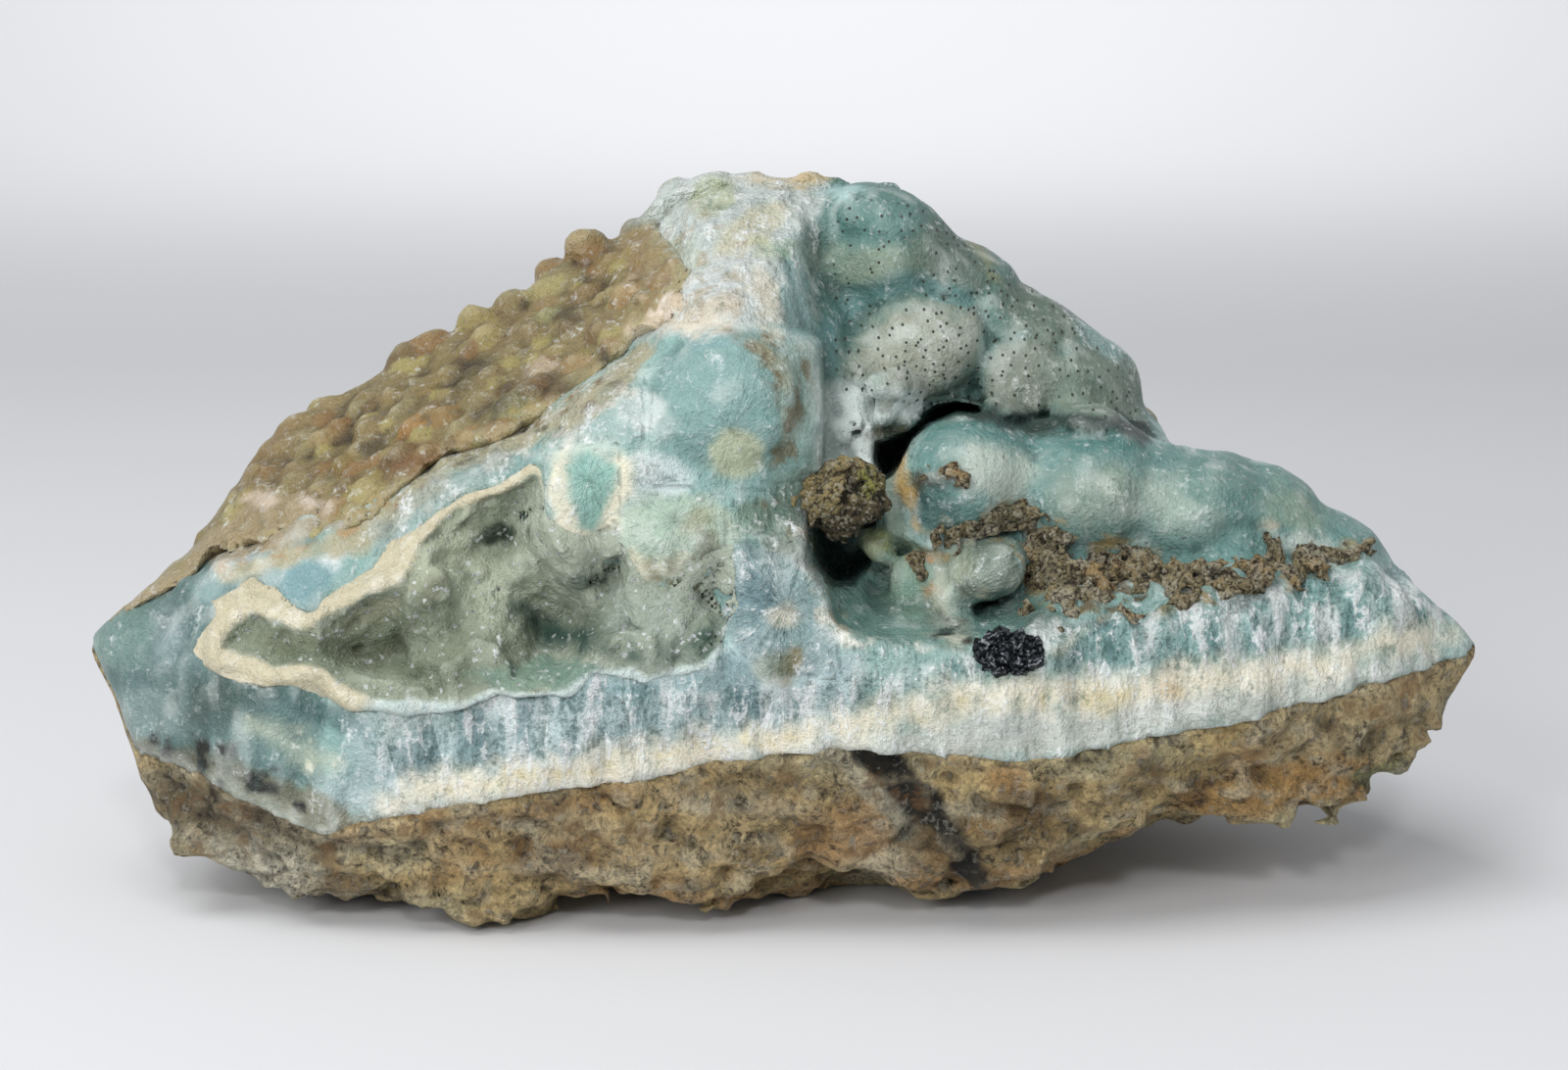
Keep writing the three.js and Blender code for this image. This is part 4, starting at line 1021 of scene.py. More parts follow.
# Places where the fibres fan out: middle (across, up), how strongly, and the ring that they fill.
FANS = [
    (0.2, -5.5, 0.45, rows("-4.8 -1 0 0.4 2.6 -2.2 4.6 -7.8 3.7 -10.7 -1.5 -11.5 -5.2 -7")),
    (-3.9, 7.9, 0.2, rows("-10.4 16.1 2.2 15.4 2.4 4.9 -4.1 3.1 -10.4 5.7")),
    (-14.9, 4.2, 0.25, rows("-18.8 6.3 -12.2 6.8 -11.9 1.9 -14.9 -1.4 -18.5 1.2")),
    (-8.3, 1.2, 0.25, rows("-12.2 3.4 -4.1 3.4 -4.5 -4 -11.9 -4")),
    (13.8, -4.3, 0.35, rows("12.7 0.1 18.3 0.4 18.5 -4.9 12.7 -4.9")),
]
# The band of upright fibres that grew from the rock.
FIBROUS = rows("""
-31.3 -13.3 -23.9 -12.4 -14.9 -10.6 -4.5 -11.8 3.7 -11 14.2 -9.4 21.6 -6.3 34.3 -4.5 47.7 -1.8 52.2 -5.5
42.6 -8.3 29.8 -10.2 14.9 -11.3 5.2 -13.3 -7.5 -15.7 -20.9 -17.4 -31.3 -18.9
""")
# Where the crystal has a sugary skin, where it is glassy, and where black specks sit on it.
SUGARY = [
    rows("2.4 16.1 3.7 27.7 10.8 27.7 28.3 9.4 28.3 5.7 11.2 7.2 3.4 9.4"),
    rows("9.3 -1 10.1 7.9 14.9 9 29.8 6.8 36.5 6.8 46.2 -1 33.5 -4.8 14.9 -1"),
    rows("-17.9 -1 -11.9 -1.4 -4.1 -1 -4.5 -5.5 -11.9 -5.5 -17.9 -4"),
    rows("2.7 11.3 10.3 10.7 10.4 8.8 7.5 8.6 7.2 5.3 2.8 5.3"),
]
GLASSY = rows("""
2.1 0.4 7.5 3.4 9.3 5.7 11.9 -1 21.6 -4 20.9 -7 14.9 -8.8 4.6 -7.9 3 -5.5
""")
DOTTED = rows("""
3.7 24.7 10.4 27.3 14.9 22.8 26.1 13.1 27.6 7.9 14.9 8.6 3.7 10.9
""")


def crystal(corners, tint):
    """Tint, make and thread of crystal: the tables above, over blue-green that varies in clouds."""
    u, v = seen(*corners.T)
    ragged = 0.5 * patchy(corners, 2, 51) + 0.4 * patchy(corners, 0.9, 52)
    clouds = patchy(corners, (4, 4, 3), 53)
    tint = layered(tint, clouds, (0.35, 0.1, 0.7, "c6d8d2"), (0.35, -0.1, -0.7, "6b9290"))
    tint = tinted(corners, tint, VEIN_TINTS, 0.45)
    pale = 0.3 * smooth(0.02, 0.15, tint[:, 1])
    small = patchy(corners, (1.5, 1.5, 2.5), 54)
    tint = layered(tint, small, (pale, 0.25, 0.8, "dfe7e3"), (0.25, -0.25, -0.8, "5d7f7a"))
    sugar = np.full(len(u), 0.15)
    for ring in SUGARY:
        sugar = np.maximum(sugar, 0.9 * smooth(0.6, -0.6, outline(u, v, ring) + ragged))
    dots = smooth(0.4, -0.4, outline(u, v, DOTTED) + ragged)
    upright = smooth(0.6, -0.6, outline(u, v, FIBROUS) + ragged)
    glassy = smooth(0.5, -0.5, outline(u, v, GLASSY))
    fibre = np.where(sugar > 0.5, 0.15, 0.12 + 0.33 * smooth(-38, -28, u) * (1 - glassy)) + 0.45 * upright
    thread = np.array([0.6 * u, 0.17 * v, corners[:, 1] * 0.2]).T
    for across, up, strength, ring in FANS:
        gap = outline(u, v, ring) - 0.4 * ragged
        within = gap < 0
        reach = np.hypot(v - up, u - across) + 1e-6
        fan = np.array([3.4 * (u - across) / reach, 3.4 * (v - up) / reach, 0.25 * reach]).T
        thread = np.where(within[:, None], fan, thread)
        fibre = np.where(within, strength, fibre) * smooth(0.05, 0.6, abs(gap))
    streaks = patchy(corners, (1.1, 3, 5), 57) + 0.5 * patchy(corners, (0.6, 2, 3), 58) + 0.5 * clouds - 0.1
    tint = layered(
        tint, streaks, (0.8 * upright, 0.05, 0.7, "f2f8f8"), (0.5 * upright, -0.2, -0.9, "567e86")
    )
    return tint, np.array([sugar, fibre, dots]).T, thread


def stone_finish(start, grit=0.5, glint=0.5, cell=0.3):
    """The finish that all the crystal pieces share, from what is painted on their corners.

    tint is the colour; make holds how sugary, how fibrous and how dotted the place is; thread counts mm
    across and along the fibres. Chance facets, `cell` mm across, turn the skin a little so that it glints,
    and a few of them have near white painted on as a painted glint.
    """
    tint, thread, place = start.painted("tint"), start.painted("thread"), start.millimetres()
    sugar, fibre, dots = start.painted("make").parts()
    fine = start.node("TexNoise", Vector=place, Scale=2.6, Detail=3.0, Roughness=0.75) - 0.5
    grain = start.node("TexNoise", Vector=place, Scale=0.8, Detail=1.0, Roughness=0.6) - 0.5
    streak = start.node("TexNoise", Vector=thread, Scale=1.6, Detail=2.0, Roughness=0.7) - 0.5
    blade = start.node("TexVoronoi", output="Color", Vector=thread, Scale=1.5)
    tone = blade.parts()[0] - 0.5
    wave = fine * (1.2 + fibre * 2.4) + grain * (0.8 + fibre) + (streak * 4.0 + tone * 1.1) * fibre
    lighter = wave.ramp(0.08, 0.8) * tint.parts()[1].ramp(0.02, 0.16) * 0.85
    colour = tint.mix(wave.ramp(-0.12, -1.1) * 0.85, tint.vector("MULTIPLY", (0.3, 0.4, 0.38)))
    colour = colour.mix(lighter, (0.84, 0.88, 0.87, 1))
    east, _, up = place.parts()
    flat = start.node("CombineXYZ", X=east, Y=up)
    speck = start.node("TexVoronoi", {"voronoi_dimensions": "2D"}, Vector=flat, Scale=1.1)
    chosen = Wire(start.tree, speck.socket.node.outputs["Color"]).parts()[0]
    drift = start.node("TexNoise", Vector=place, Scale=0.2, Detail=1.0)
    dot = speck.ramp(0.17, 0.09) * dots * (chosen + drift * 1.8).ramp(1.2, 1.25)
    facet = start.node("TexVoronoi", output="Color", Vector=place, Scale=1 / cell)
    glint_facet = facet.parts()[1].ramp(0.94, 0.965) * (0.15 + sugar * 0.85)
    # Black specks, then near white painted on the glinting facets as a painted glint.
    colour = colour.mix(dot, (0.025, 0.03, 0.02, 1)).mix(glint_facet * glint * glint, (0.9, 0.95, 0.95, 1))
    amount = glint * (0.2 + fibre * 0.35 + sugar * 0.15) + glint_facet * 0.8
    height = fine * (0.5 + fibre * 1.5) * grit + grain * (0.2 + fibre * 0.5) + streak * fibre * 1.6
    bump = start.node("Bump", Height=height, Strength=1.0, Distance=0.0009)
    normal = bump.vector("ADD", facet.chance_turn(amount)).vector("ADD", blade.chance_turn(fibre * 0.55))
    rough = 0.25 + fine * 0.5 + sugar * 0.14 - glint_facet * 0.3
    return {"Base Color": colour, "Roughness": rough, "Normal": normal.vector("NORMALIZE")}


tint, make, thread = crystal(corners, plain(corners, "8fb2ae"))
# Painted shade in the vein's crevices (3c5a55) and a painted highlight where it stands proud (dfe8e4).
crease_shading = bulge(vein, axes, corners, 5)
tint = layered(tint, crease_shading, (0.55, -0.03, -0.4, "3c5a55"), (0.25, 0.05, 0.35, "dfe8e4"))
left_end = smooth(-41, -46, seen(*corners.T)[0])
tint = tint * (1 - 0.2 * left_end[:, None]) * (0.97, 0.96, 0.94)
finish = material("fibrous_hemimorphite", stone_finish, Subsurface_Weight=0.15,
                  Subsurface_Radius=(0.7, 1.0, 0.9), Subsurface_Scale=0.002)
piece("hemimorphite_vein", (corners, faces), finish, "hemimorphite", "hemimorphite",
      tint=tint, make=make, thread=thread)

# ---- Druse ----
# The sugary lining of the left hollow: fine grey-green crystals over rounded lumps. Its broken edge shows
# all round the hollow as a cream, finely fibrous rim.
DRUSE_THICK, LOBE_THICK = 1.2, 0.3
DRUSE_RELIEF = [(0.7, 0.2, 31), (1.4, 0.22, 33), (3, 0.35, 32)]
HOLLOW = rows("""
-42.6 -8.5 -41.7 -7.2 -40.4 -6.1 -39.4 -6.6 -38.5 -7 -37.3 -7.5 -36 -7.2 -34.7 -6.4 -32.6 -5.5 -31.7 -4.9
-30.5 -4.5 -29.1 -3.9 -28.2 -2.7 -27.7 -1 -26.2 0.4 -24.7 1.9 -23 2.5 -21.2 3 -19.5 3.9 -18.9 4.3 -18.6 3.1
-18.3 1.2 -17.5 -0.5 -16.5 -1.6 -15.2 -3.1 -13.7 -2 -12.5 -1.2 -11.6 -2.8 -10.1 -4.4 -8.2 -4.7 -5.8 -3.5
-4.5 -1.9 -4.7 -4 -4.6 -5.9 -5.2 -8.5 -5.9 -9.2 -8.2 -9.8 -10.5 -10.2 -11.6 -10 -14.8 -10 -16.5 -11.6
-19.2 -11.6 -22.4 -11.6 -24.1 -12.4 -29.8 -12.4 -31.2 -12.4 -32.7 -11.6 -34.7 -10.2 -36.5 -9.5 -38.8 -9.6
-40.3 -8.9
""")
# Rounded lumps of the lining: middle (across, up), half width, half height, turn, how far they stand out.
DRUSE_LUMPS = rows("""
-26.5 -1.2 5.2 2.2 40 1 -24 -6.7 5.4 5.7 10 4 -21 -3.3 3.1 2.5 -20 2 -10.8 -6.9 5.5 4 0 3
-30.5 -11.4 3.9 1.3 -8 1.4 -18.3 -11 4.2 1.5 0 0.9 -35 -7.9 3.7 1.3 10 0.6
""", 6)
# Marks on the lining. Painted shade: the soft bands 565a44, 666e5b and 24443a, the ovals 1f3020 and 3c5040
# and the soft oval 2f4c40, in the valleys, crevices and under the lumps. Painted light: the soft ovals b5baa2
# and b4bba5, on the upper slope and the top of the big lump.
DRUSE_TINTS = marks("""
soft-oval b5baa2 0.8 -26.1 -1.4 3.7 1.6 40 soft-oval b4bba5 0.6 -22.4 -4.4 4 2.5 -20
soft-band 565a44 0.75 -34.7 -9.1 0.4 -31.3 -9.1 0.7 -28.9 -8.1 0.7 -27.7 -5.5 0.6 -26.1 -3.4 0.4
soft-band 666e5b 0.75 -28.5 -10 0.6 -26.1 -10.7 1 -22.4 -10.7 0.9 -19.8 -9.2 0.6
soft-oval a3a893 0.3 -30.4 -10.7 2.5 0.9 -10 soft-oval aaa88c 0.6 -31.9 -6.4 2.4 0.9 25
soft-oval b6c4b8 0.3 -10.8 -6.1 3.3 1.9 0 oval 1f3020 0.95 -21.4 0.2 1.8 1 0
soft-band 24443a 0.95 -19.8 -5.7 0.4 -17.9 -7.3 1 -14.9 -8 1.1 -11.9 -9.5 0.7 -6.9 -9.2 0.6
oval 6d8f7e 0.6 -18.3 -10.7 4.5 1.2 0 soft-oval 2f4c40 0.95 -5.8 -7.8 1.5 1.9 0
oval 3c5040 0.7 -15.7 -3.6 1.3 0.7 0 oval 5c6650 0.5 -35 -8.1 3.7 1 20 oval 6a7058 0.5 -38.4 -8.1 2.5 1 0
oval 5d8074 0.5 -14.9 -10.7 3 0.9 0
""")
axes = block((-47, -24, 10), (-2, -4, 38), 0.3)
bare = bare_stone(axes)
front = face_depth(bare, axes)
lobes = rounded(axes, front, UNDER_LOBES)
outer = np.minimum(bowl(axes, front, RIM, 0), lobes)
inside = np.minimum(bowl(axes, front, HOLLOW, DRUSE_THICK), lobes + LOBE_THICK)
inside = inside + swollen(axes, DRUSE_LUMPS, 0.85)
u, v = seen(*grid(axes))
gap = outline(u, v, HOLLOW)
ridge = smooth(1.1, 0.4, np.abs(gap - 0.9)) * smooth(-16, -19, u)
druse = np.maximum(np.maximum(outer - SET_IN, -inside), bare - 0.05 - 0.6 * ridge).astype(np.float32)
druse = druse - (1 - 0.55 * smooth(-0.2, 0.5, gap)) * relief(axes, DRUSE_RELIEF)
druse = druse.astype(np.float32)
corners, faces = skin(druse, axes)
u, v = seen(*corners.T)
edge = smooth(0.1, 0.5, outline(u, v, HOLLOW) + 0.3 * patchy(corners, 1.2, 62))
edge = edge * smooth(-3.5, -1.5, sample(bare, axes, corners))
clouds = patchy(corners, 2.5, 61)
# Painted shade in the crevices and broad valleys between the lumps (3c4d3c, 46523f), and painted light on
# their tops (bcc4b3, c6ccba).
crease_shading = bulge(druse, axes, corners, 7)
broad = bulge(druse, axes, corners, 60)
tint = over(plain(corners, "7c8570"), 0.6 * smooth(-22, -8, u), "8e9c8e")
tint = layered(tint, clouds, (0.3, 0.1, 0.7, "b4bbaa"), (0.25, -0.1, -0.7, "7c8973"))
tint = layered(tint, broad, (0.6, -0.2, -1.2, "46523f"), (0.25, 0.2, 1.2, "c6ccba"))
tint = layered(tint, crease_shading, (0.65, -0.05, -0.6, "3c4d3c"), (0.35, 0, 0.5, "bcc4b3"))
tint = tinted(corners, tint, DRUSE_TINTS)
edge = edge * (1 - smooth(0.5, -0.5, outline(u, v, UNDER_LOBES) - 0.8))
bluish = (smooth(-25, -23, u - 0.6 * v) * smooth(3.5, -1.5, v))[:, None]
tint = over(tint, edge, shade("ccc4a8") * (1 - bluish) + shade("c3d3cf") * bluish)
speckled = patchy(corners, 0.5, 63) + 0.6 * patchy(corners, 1.3, 64)
tint = layered(tint, speckled, (0.3 * edge, 0.1, 0.8, "faf7ec"), (0.15 * edge, -0.1, -0.8, "c2ad80"))
make = np.array([1 - 0.95 * edge, 0.02 + 0 * u, 0 * u]).T
finish = material("sugary_druse", lambda start: stone_finish(start, grit=0.9, glint=0.8, cell=0.3))
piece("druse_lining", (corners, faces), finish, "druse", "druse", tint=tint, make=make, thread=corners)

# ---- Brown crust ----
# A thin waxy skin of grape-like knobs over the back of the vein and its left slope, olive to tan, stained
# with iron. The vein grew against it; its broken edge shows pale along the front.
# The knobs that show most: middle (across, up), radius and colour.
KNOBS = """
-37 8.5 1.6 9a8860 -35 7 1.6 9b8558 -38.8 6.8 1.5 93805a -31.3 7.9 1.6 8c7a50 -27.8 7.9 1.5 a27c46
-29.1 5.7 1.6 7d6238 -31.5 3.4 1.8 a09258 -32.8 1.6 1.3 8d7f50 -28.5 13.1 1.6 a59a62 -25.2 12 1.5 8f7f52
-22.4 15 1.6 b0a470 -22.1 12.1 1.3 8b7a50 -20.9 9.8 1.5 949068 -18.3 12.5 1.5 b8a68c -15.7 13.1 1.3 a28a62
-17.7 19.1 2.2 a79d68 -17.9 16.5 1.3 969468 -34.3 10.1 1.5 96855c -31.9 10.5 1.3 8c7c54 -25.7 9 1.3 94794a
-23.9 7.5 1.1 a08458 -19 15.4 1.2 8a7a52 -14.9 18.3 1.5 85704a -13 20.6 1.6 8f7a4e -13.8 15.7 1.3 7f6a48
-11.9 18.3 1.5 9a7c50 -29.8 10.5 1.2 8f7d52 -23.9 14.2 1.1 9a8d5c -26.8 10.9 1.1 887648 -19.4 10.9 1 8c7c58
-37.3 4.9 1.3 8f7f58 -35.4 3.4 1.2 9d8c66 -33.5 5.3 1.2 85713f -40.2 4.9 1.2 a0916a -22.4 17.6 1.3 8d8058
-20.1 18.3 1.2 9a8f62
"""
# The small knobs in front and the knobs of the back: how many across and up, and mm from one to the next.
SMALL_KNOBS, SMALL_SPACING = (26, 20), 1.55
BACK_KNOBS, BACK_SPACING = (27, 15), 3.3
CRUST_SET_IN = 0.45
CRUST_COLOURS = ["8a7c54", "9b8c60", "a3975f", "77633d", "8e7044", "938862"]
CRUST_TINTS = marks("""
band 9a8a6c 0.7 -50.7 -5.7 0.7 -47.7 -4.5 0.7 -45.1 -2.8 1 -43.1 -0.3 1.2 -40.2 1.3 1.3 -36.5 1.8 1.2
flecked-band a08a5e 0.35 -42.9 -1 0.5 -40.2 0.2 0.7 -36.5 0.4 0.7 -33.5 1 0.6 -30.9 2.5 0.7 -28.9 4.8 0.6
-25.7 7.4 0.6 -21.6 8.3 0.6 -17.5 10.7 0.7 -14.4 12.1 0.7 -11.2 15 0.7 oval c9b9a6 0.8 -39.5 2.7 1.2 0.7 0
oval cdbfae 0.8 -36.1 2.5 1 0.6 0 band cdbda6 0.8 -11.9 13.9 0.7 -8.9 16.8 1.2 -6 17.6 1
flecked-ring cbb898 0.6 -11.9 15.7 -11.9 22.1 -8.2 22.8 -4.5 19.1 -6 16.1
flecked-oval 6f5a3a 0.7 -9.8 21.2 2.2 3 20 flecked-band dccfbe 0.9 -9.8 17 0.9 -7.5 18.5 1 -4.8 18.9 0.7
flecked-band b9c8bf 0.8 -8.9 23.1 0.6 -7 20.7 0.7 -6.3 18.3 0.7 -7.8 16.1 0.7 -10.1 14.5 0.6
oval 8a744c 0.6 -11.2 22.1 1.3 1.9 20 oval 3a3020 0.8 -16.6 16.8 0.9 0.5 0
soft-oval 2a2216 0.9 -24.1 12.8 1.2 0.7 10 soft-oval 2a2216 0.9 -22 10 1.3 0.6 30
soft-oval 2a1c10 0.9 -17.9 11 1.9 0.5 -6 soft-oval 4a3218 0.8 -27.6 5.7 1.8 0.7 20
oval 0c0c08 1 -13.7 13.9 0.6 0.6 0 oval 8a5a2c 0.3 -27.1 5.7 2.2 0.9 30 oval 3a2f1c 0.7 -31.7 6.8 1 0.4 0
""")
# The crust's ring on the broken face: its front edge first, then round behind the crest.
CRUST_FRONT = rows("""
-52.2 -7 -47.8 -4.9 -45.2 -3.3 -43.3 -1.5 -40.4 -0.7 -37.1 -0.7 -33.5 0 -31.2 1.3 -29.2 3.4 -25.9 6 -21.7 7
-17.5 9.6 -14.4 11.5 -11.2 14.8 -7.5 16.5 -7 20.1 -9.8 23.9 -12.8 23.7 -14.9 29.5 -37.3 18.3 -55.2 -1
""")
CRUST_TOP = rows("-7 15.7 -7 20.1 -9.8 23.9 -12.8 23 -12.7 29.5 11.2 29.5 3.7 15.4")


def meets(field, axes, starts):
    """Where lines of places first enter a field: `starts` holds the places, one row to a line."""
    value = sample(field, axes, starts.reshape(-1, 3)).reshape(starts.shape[:2])
    first = np.argmax(value < 0, axis=1)
    row = np.arange(len(first))
    return starts[row, first], value[row, first] < 0


def sights(spots, depths):
    """Lines into the stone from places on the broken face: a row of points for each."""
    return np.array([np.stack(behind(u, v, depths), axis=-1) for u, v, *_ in spots])


axes = block((-57.5, -16, -1), (54, 29.5, 60.5), CELL)
x, y, z = grid(axes)
crust = stone(axes, EDGES) - tips(x) * (relief(axes, [(6, 0.6, 0), (2.4, 0.3, 41)]) + mounds(axes, 2.0))
crust = crust.astype(np.float32)
words = KNOBS.split()
spread = [(float(u), float(v), float(r), shade(c)) for u, v, r, c in zip(*[words[k::4] for k in range(4)])]
for i, j in np.ndindex(SMALL_KNOBS):
    a, b, c, d = [float(chance(i, j, k)) for k in range(4)]
    spread.append((-46 + SMALL_SPACING * (i + 0.9 * a), -2 + SMALL_SPACING * (j + 0.9 * b), 0.7 + 0.45 * c,
                   shade(CRUST_COLOURS[int(d * 6)])))
sites, met = meets(crust, axes, sights(spread, np.arange(-15.5, 28, 0.25)))
knobs = []
for (u, v, radius, colour), site, hit in zip(spread, sites, met):
    gap = float(outline(np.array([u]), np.array([v]), CRUST_FRONT)[0])
    if hit and gap < -0.4 * radius and site[1] < 20:
        # Knobs sit lower at the skyline, so that the crest stays even.
        skyline = float(smooth(4, 2.5, rail(EDGES["crest"], site[0])[0] - site[1]))
        knobs.append((site + (0, 0.3 * radius, -(0.35 + 0.35 * skyline) * radius), radius, colour))
spread = []
for i, j in np.ndindex(BACK_KNOBS):
    a, b, c, d = [float(chance(i, j, k)) for k in range(5, 9)]
    spread.append((-50 + BACK_SPACING * (i + 0.8 * a), 6 + BACK_SPACING * (j + 0.8 * b), 1.2 + 1.2 * c,
                   shade(CRUST_COLOURS[int(6 * d)])))
depths = np.arange(-15.5, 28, 0.25)[::-1]
lines = np.array([np.stack(np.broadcast_arrays(x, depths, z), axis=-1) for x, z, _, _ in spread])
sites, met = meets(crust, axes, lines)
for (_, _, radius, colour), site, hit in zip(spread, sites, met):
    if hit and site[1] > 4:
        knobs.append((site - (0, 0.65 * radius, 0), radius, colour))
for at, radius, _ in knobs:
    mass(crust, axes, at, (radius, radius, radius), blend=0.35)
bare = bare_stone(axes)
crust = np.maximum(crust - relief(axes, [(1, 0.16, 42), (1.8, 0.25, 46)]), -bare - CRUST_SET_IN)
broken = outline(*seen(x, y, z), CRUST_FRONT) + 0.5 * np.maximum(bare, 0) - 0.25 * uneven(axes, 1.3, 45)
crust = np.maximum(crust, np.minimum(broken, rail(EDGES["crest"], x)[0] - 1.5 - y))
crust = np.maximum(crust, below_vein(axes)).astype(np.float32)
corners, faces = skin(crust, axes)
tint = plain(corners, "8b7d55")
nearest = np.full(len(corners), 1.25)
for at, radius, colour in knobs:
    reach = np.linalg.norm(corners - at, axis=1) / radius
    closer = reach < nearest
    tint[closer] = colour
    nearest[closer] = reach[closer]
tint = layered(tint, patchy(corners, 5, 43), (0.35, 0.1, 0.7, "a39a70"))
tint = layered(tint, patchy(corners, 7, 44), (0.35, -0.1, -0.7, "7a5b34"))
# Painted shade in the crust's broad hollows and crevices (382b18, 33291a) and painted light on its rounded
# tops (cfc79c, c9c0a0).
tint = layered(tint, bulge(crust, axes, corners, 14), (0.85, 0, -0.45, "382b18"), (0.25, 0.2, 0.8, "cfc79c"))
crease_shading = bulge(crust, axes, corners, 4)
tint = layered(tint, crease_shading, (0.85, -0.02, -0.3, "33291a"), (0.2, 0.08, 0.3, "c9c0a0"))
tint = tint * (0.8, 0.79, 0.74)
tint = over(tint, smooth(15, 11, corners[:, 1]), tinted(corners, tint, CRUST_TINTS))
# On top of the stone the crust is overgrown by the vein's own crystal.
top = smooth(-0.5, 0.5, -outline(*seen(*corners.T), CRUST_TOP)) * smooth(19, 15, corners[:, 1])
tint = over(tint, top, crystal(corners, tint)[0])
make = np.array([0.5 - 0.2 * top, 0.14 + 0.2 * top, 0.2 * (1 - top)]).T
finish = material("waxy_brown_crust", lambda start: stone_finish(start, grit=0.5, glint=0.35, cell=0.35))
piece("brown_crust_knobs", (corners, faces), finish, "brown_crust", "brown_crust",
      tint=tint, make=make, thread=0.7 * corners)

# ---- Iron oxide ----
# Crumbly brown oxide: a lump wedged in the middle hollow, and a grainy strip that arches over the
# white stub and runs out along the ledge. Both grew on the crystal and are as rough as rust.
def oxide_finish(start):
    """Rust crumbs: ochre on the high grains, near black between them."""
    tint, place = start.painted("tint"), start.millimetres()
    fine = start.node("TexNoise", Vector=place, Scale=2.2, Detail=5.0, Roughness=0.8) - 0.5
    crumb = start.node("TexVoronoi", output="Distance", Vector=place, Scale=3.2)
    tone, light, _ = start.node("TexVoronoi", output="Color", Vector=place, Scale=3.2).parts()
    level = 0.6 - crumb * 0.8 + fine * 3.8 + tone * 0.5
    colour = tint.vector("MULTIPLY", (0.12, 0.12, 0.12)).mix(level.ramp(-0.1, 0.7), tint)
    pale = light.ramp(0.62, 0.72) * level.ramp(0.2, 0.6)
    colour = colour.mix(pale * 0.7, (0.62, 0.57, 0.42, 1))
    bump = start.node("Bump", Height=fine * 1.5 - crumb * 0.9, Strength=1.0, Distance=0.001)
    return {"Base Color": colour, "Normal": bump}


LUMP_MIDDLE, LUMP_RADII = behind(4.2, 3.0, -13.5), (3.2, 3.0, 2.8)
# The strip's crumbs: (across, up) and radius.
STRIP = rows("""
12.5 -0.7 0.6 13.8 0.4 0.9 15.3 1.2 1.1 16.8 1.4 1.3 18.3 0.8 1.4 19.5 -0.1 1.5 19.8 -1.8 1.5 21 -3.3 1.7
22.7 -3.4 1.8 24.6 -3.1 2 26.5 -3 2 28.3 -3.4 1.7 30.2 -3.6 1.5 32 -3.6 1.4 33.9 -3.7 1.3 35.4 -2.9 1.5
37.3 -2.1 1.3 39.5 -1.9 1.1 41.7 -1.8 1 44 -1.3 0.7 21.6 -2.1 0.9 25.3 -1.9 1 27.2 -2.2 0.9 23.1 -4.8 1.2
21.2 -4.9 1.1 21.8 -6.1 0.9 24.6 -4.8 1.2 26.8 -4.6 1.2 29.1 -4.5 1 19 -3.3 0.8 35.4 -4 1 38.4 -3.3 1
40.6 -2.7 0.9 37.6 -0.7 0.7 11.2 4.4 0.7 12 4.5 0.8 12.7 4.7 0.6 10.5 -2.1 0.5 10.8 -3.1 0.4 18.6 -5.9 0.5
20.3 -7 0.5 30.9 -4.9 0.6 32.8 -2.2 0.7 29.8 -1.8 0.7 23.9 -1.5 0.5 19.4 1.2 0.7 20.5 0.1 0.8 11.9 -0.1 0.5
36.5 -3.3 0.5 26.1 -6.1 0.5 42.9 -1.8 0.6 17.9 -4 0.5
""", 3)
oxide = material("crumbly_oxide", oxide_finish, roughness=0.95)
axes = block([c - 4.6 for c in LUMP_MIDDLE], [c + 4.6 for c in LUMP_MIDDLE], 0.22)
lump = np.full([len(axis) for axis in axes], 9, np.float32)
mass(lump, axes, LUMP_MIDDLE, LUMP_RADII)
lump = (lump - relief(axes, [(2.2, 0.9, 7), (1.0, 0.9, 71), (0.5, 0.5, 72)])).astype(np.float32)
corners, faces = skin(lump, axes)
# Painted shade: the lump is darker towards its lower right (463f30).
lower_right_shade = corners[:, 2] - 0.4 * corners[:, 0] + 1.8
tint = layered(plain(corners, "c2ae78"), lower_right_shade, (0.8, 34.5, 31.5, "463f30"))
tint = tinted(corners, tint, marks("oval b3b65c 0.8 6.3 4.2 1 1.2 0"))
# Painted shade between the crumbs (15110b).
tint = layered(tint, bulge(lump, axes, corners, 5), (0.85, 0.04, -0.25, "15110b"))
piece("oxide_lump", (corners, faces), oxide, "iron_oxide", "iron_oxide_lump", tint=tint)

axes = block((9, -22, 20), (49, -4, 38), 0.28)
strip = np.full([len(axis) for axis in axes], 9, np.float32)
sites, _ = meets(vein, vein_axes, sights(STRIP, np.arange(-24, 5, 0.2)))
for site, (_, _, radius) in zip(sites, STRIP):
    mass(strip, axes, site + (0, 0.3 * radius, 0), (1.15 * radius, 0.8 * radius, 0.85 * radius), blend=0.8)
strip = (strip - relief(axes, [(2, 0.8, 73), (1.0, 0.65, 74), (0.5, 0.7, 75)])).astype(np.float32)
corners, faces = skin(strip, axes, scattered=True)
tint = layered(plain(corners, "b9a87e"), patchy(corners, 3, 76), (0.6, 0, 0.5, "dcb67c"))
tint = layered(tint, patchy(corners, 2, 77), (0.6, 0, -0.5, "8f8b70"))
tint = layered(tint, patchy(corners, 1.2, 78), (0.6, 0.1, 0.5, "efe6cc"))
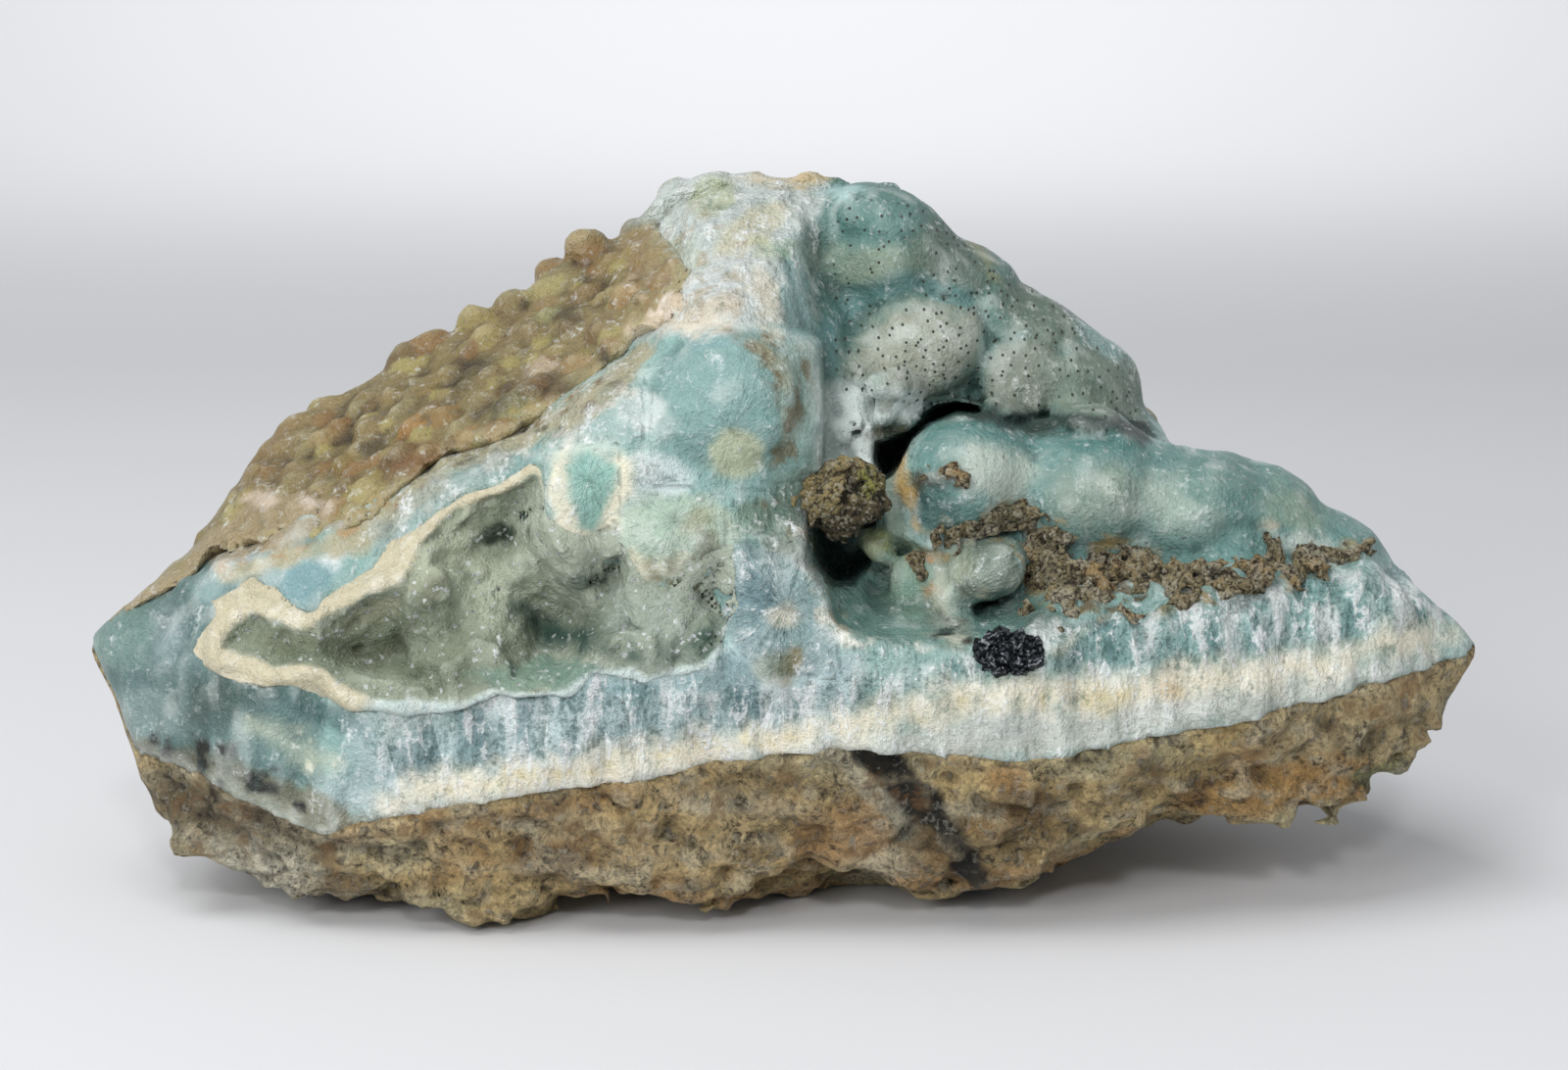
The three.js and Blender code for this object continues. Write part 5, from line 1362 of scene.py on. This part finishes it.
# Painted shade between the crumbs (1c1710).
tint = layered(tint, bulge(strip, axes, corners, 5), (0.8, 0.03, -0.25, "1c1710"))
piece("oxide_strip", (corners, faces), oxide, "iron_oxide", "iron_oxide_strip", tint=tint)

# ---- Dark crystals ----
# A cluster of small black metallic cubes, probably sphalerite or galena, grown through one another where the
# ledge meets the middle hollow.
# Its middle on the broken face and how far it reaches from there; the crystals are tried over a field.
CLUSTER, CLUSTER_REACH = (17.1, -8.9), (2.4, 1.5)
TRIED, FIELD = 230, (5.6, 3.6)
CUBE = np.array(list(np.ndindex(2, 2, 2))) - 0.5
CUBE_FACES = np.array([(0, 1, 3, 2), (4, 6, 7, 5), (0, 4, 5, 1), (2, 3, 7, 6), (0, 2, 6, 4), (1, 5, 7, 3)])
spread = []
for i in range(TRIED):
    a, b, c = [float(chance(i, k, 9)) for k in range(3)]
    u, v = CLUSTER[0] + FIELD[0] * (a - 0.5), CLUSTER[1] + FIELD[1] * (b - 0.5)
    if math.hypot((u - CLUSTER[0]) / CLUSTER_REACH[0], (v - CLUSTER[1]) / CLUSTER_REACH[1]) < 1:
        spread.append((u, v, 0.4 + 0.6 * c))
sites, _ = meets(vein, vein_axes, sights(spread, np.arange(-24, 0, 0.2)))
corners, faces = [], []
for i, (site, (_, _, size)) in enumerate(zip(sites, spread)):
    turn = np.linalg.qr(np.array([[float(chance(i, j, k)) - 0.5 for j in range(3)] for k in range(3)]))[0]
    turn = turn * np.sign(np.linalg.det(turn))
    faces.append(CUBE_FACES + 8 * i)
    corners.append(site + (0, -0.1, 0) + size * CUBE @ turn.T)


def dark_finish(start):
    """Black metallic crystal with worn, slightly brown faces."""
    fine = start.node("TexNoise", Vector=start.millimetres(), Scale=3.0, Detail=4.0)
    black = (0.006, 0.008, 0.01, 1)
    colour = start.mixed(fine.ramp(0.45, 0.65), black, (0.13, 0.14, 0.15, 1))
    bump = start.node("Bump", Height=fine, Strength=0.7, Distance=0.0002)
    return {"Base Color": colour, "Roughness": 0.08 + fine * 0.3, "Normal": bump}


finish = material("black_metallic", dark_finish, Metallic=0.85)
piece("dark_cube_cluster", (np.concatenate(corners), np.concatenate(faces)), finish, "dark_crystal",
      "dark_crystals", smooth_faces=False)
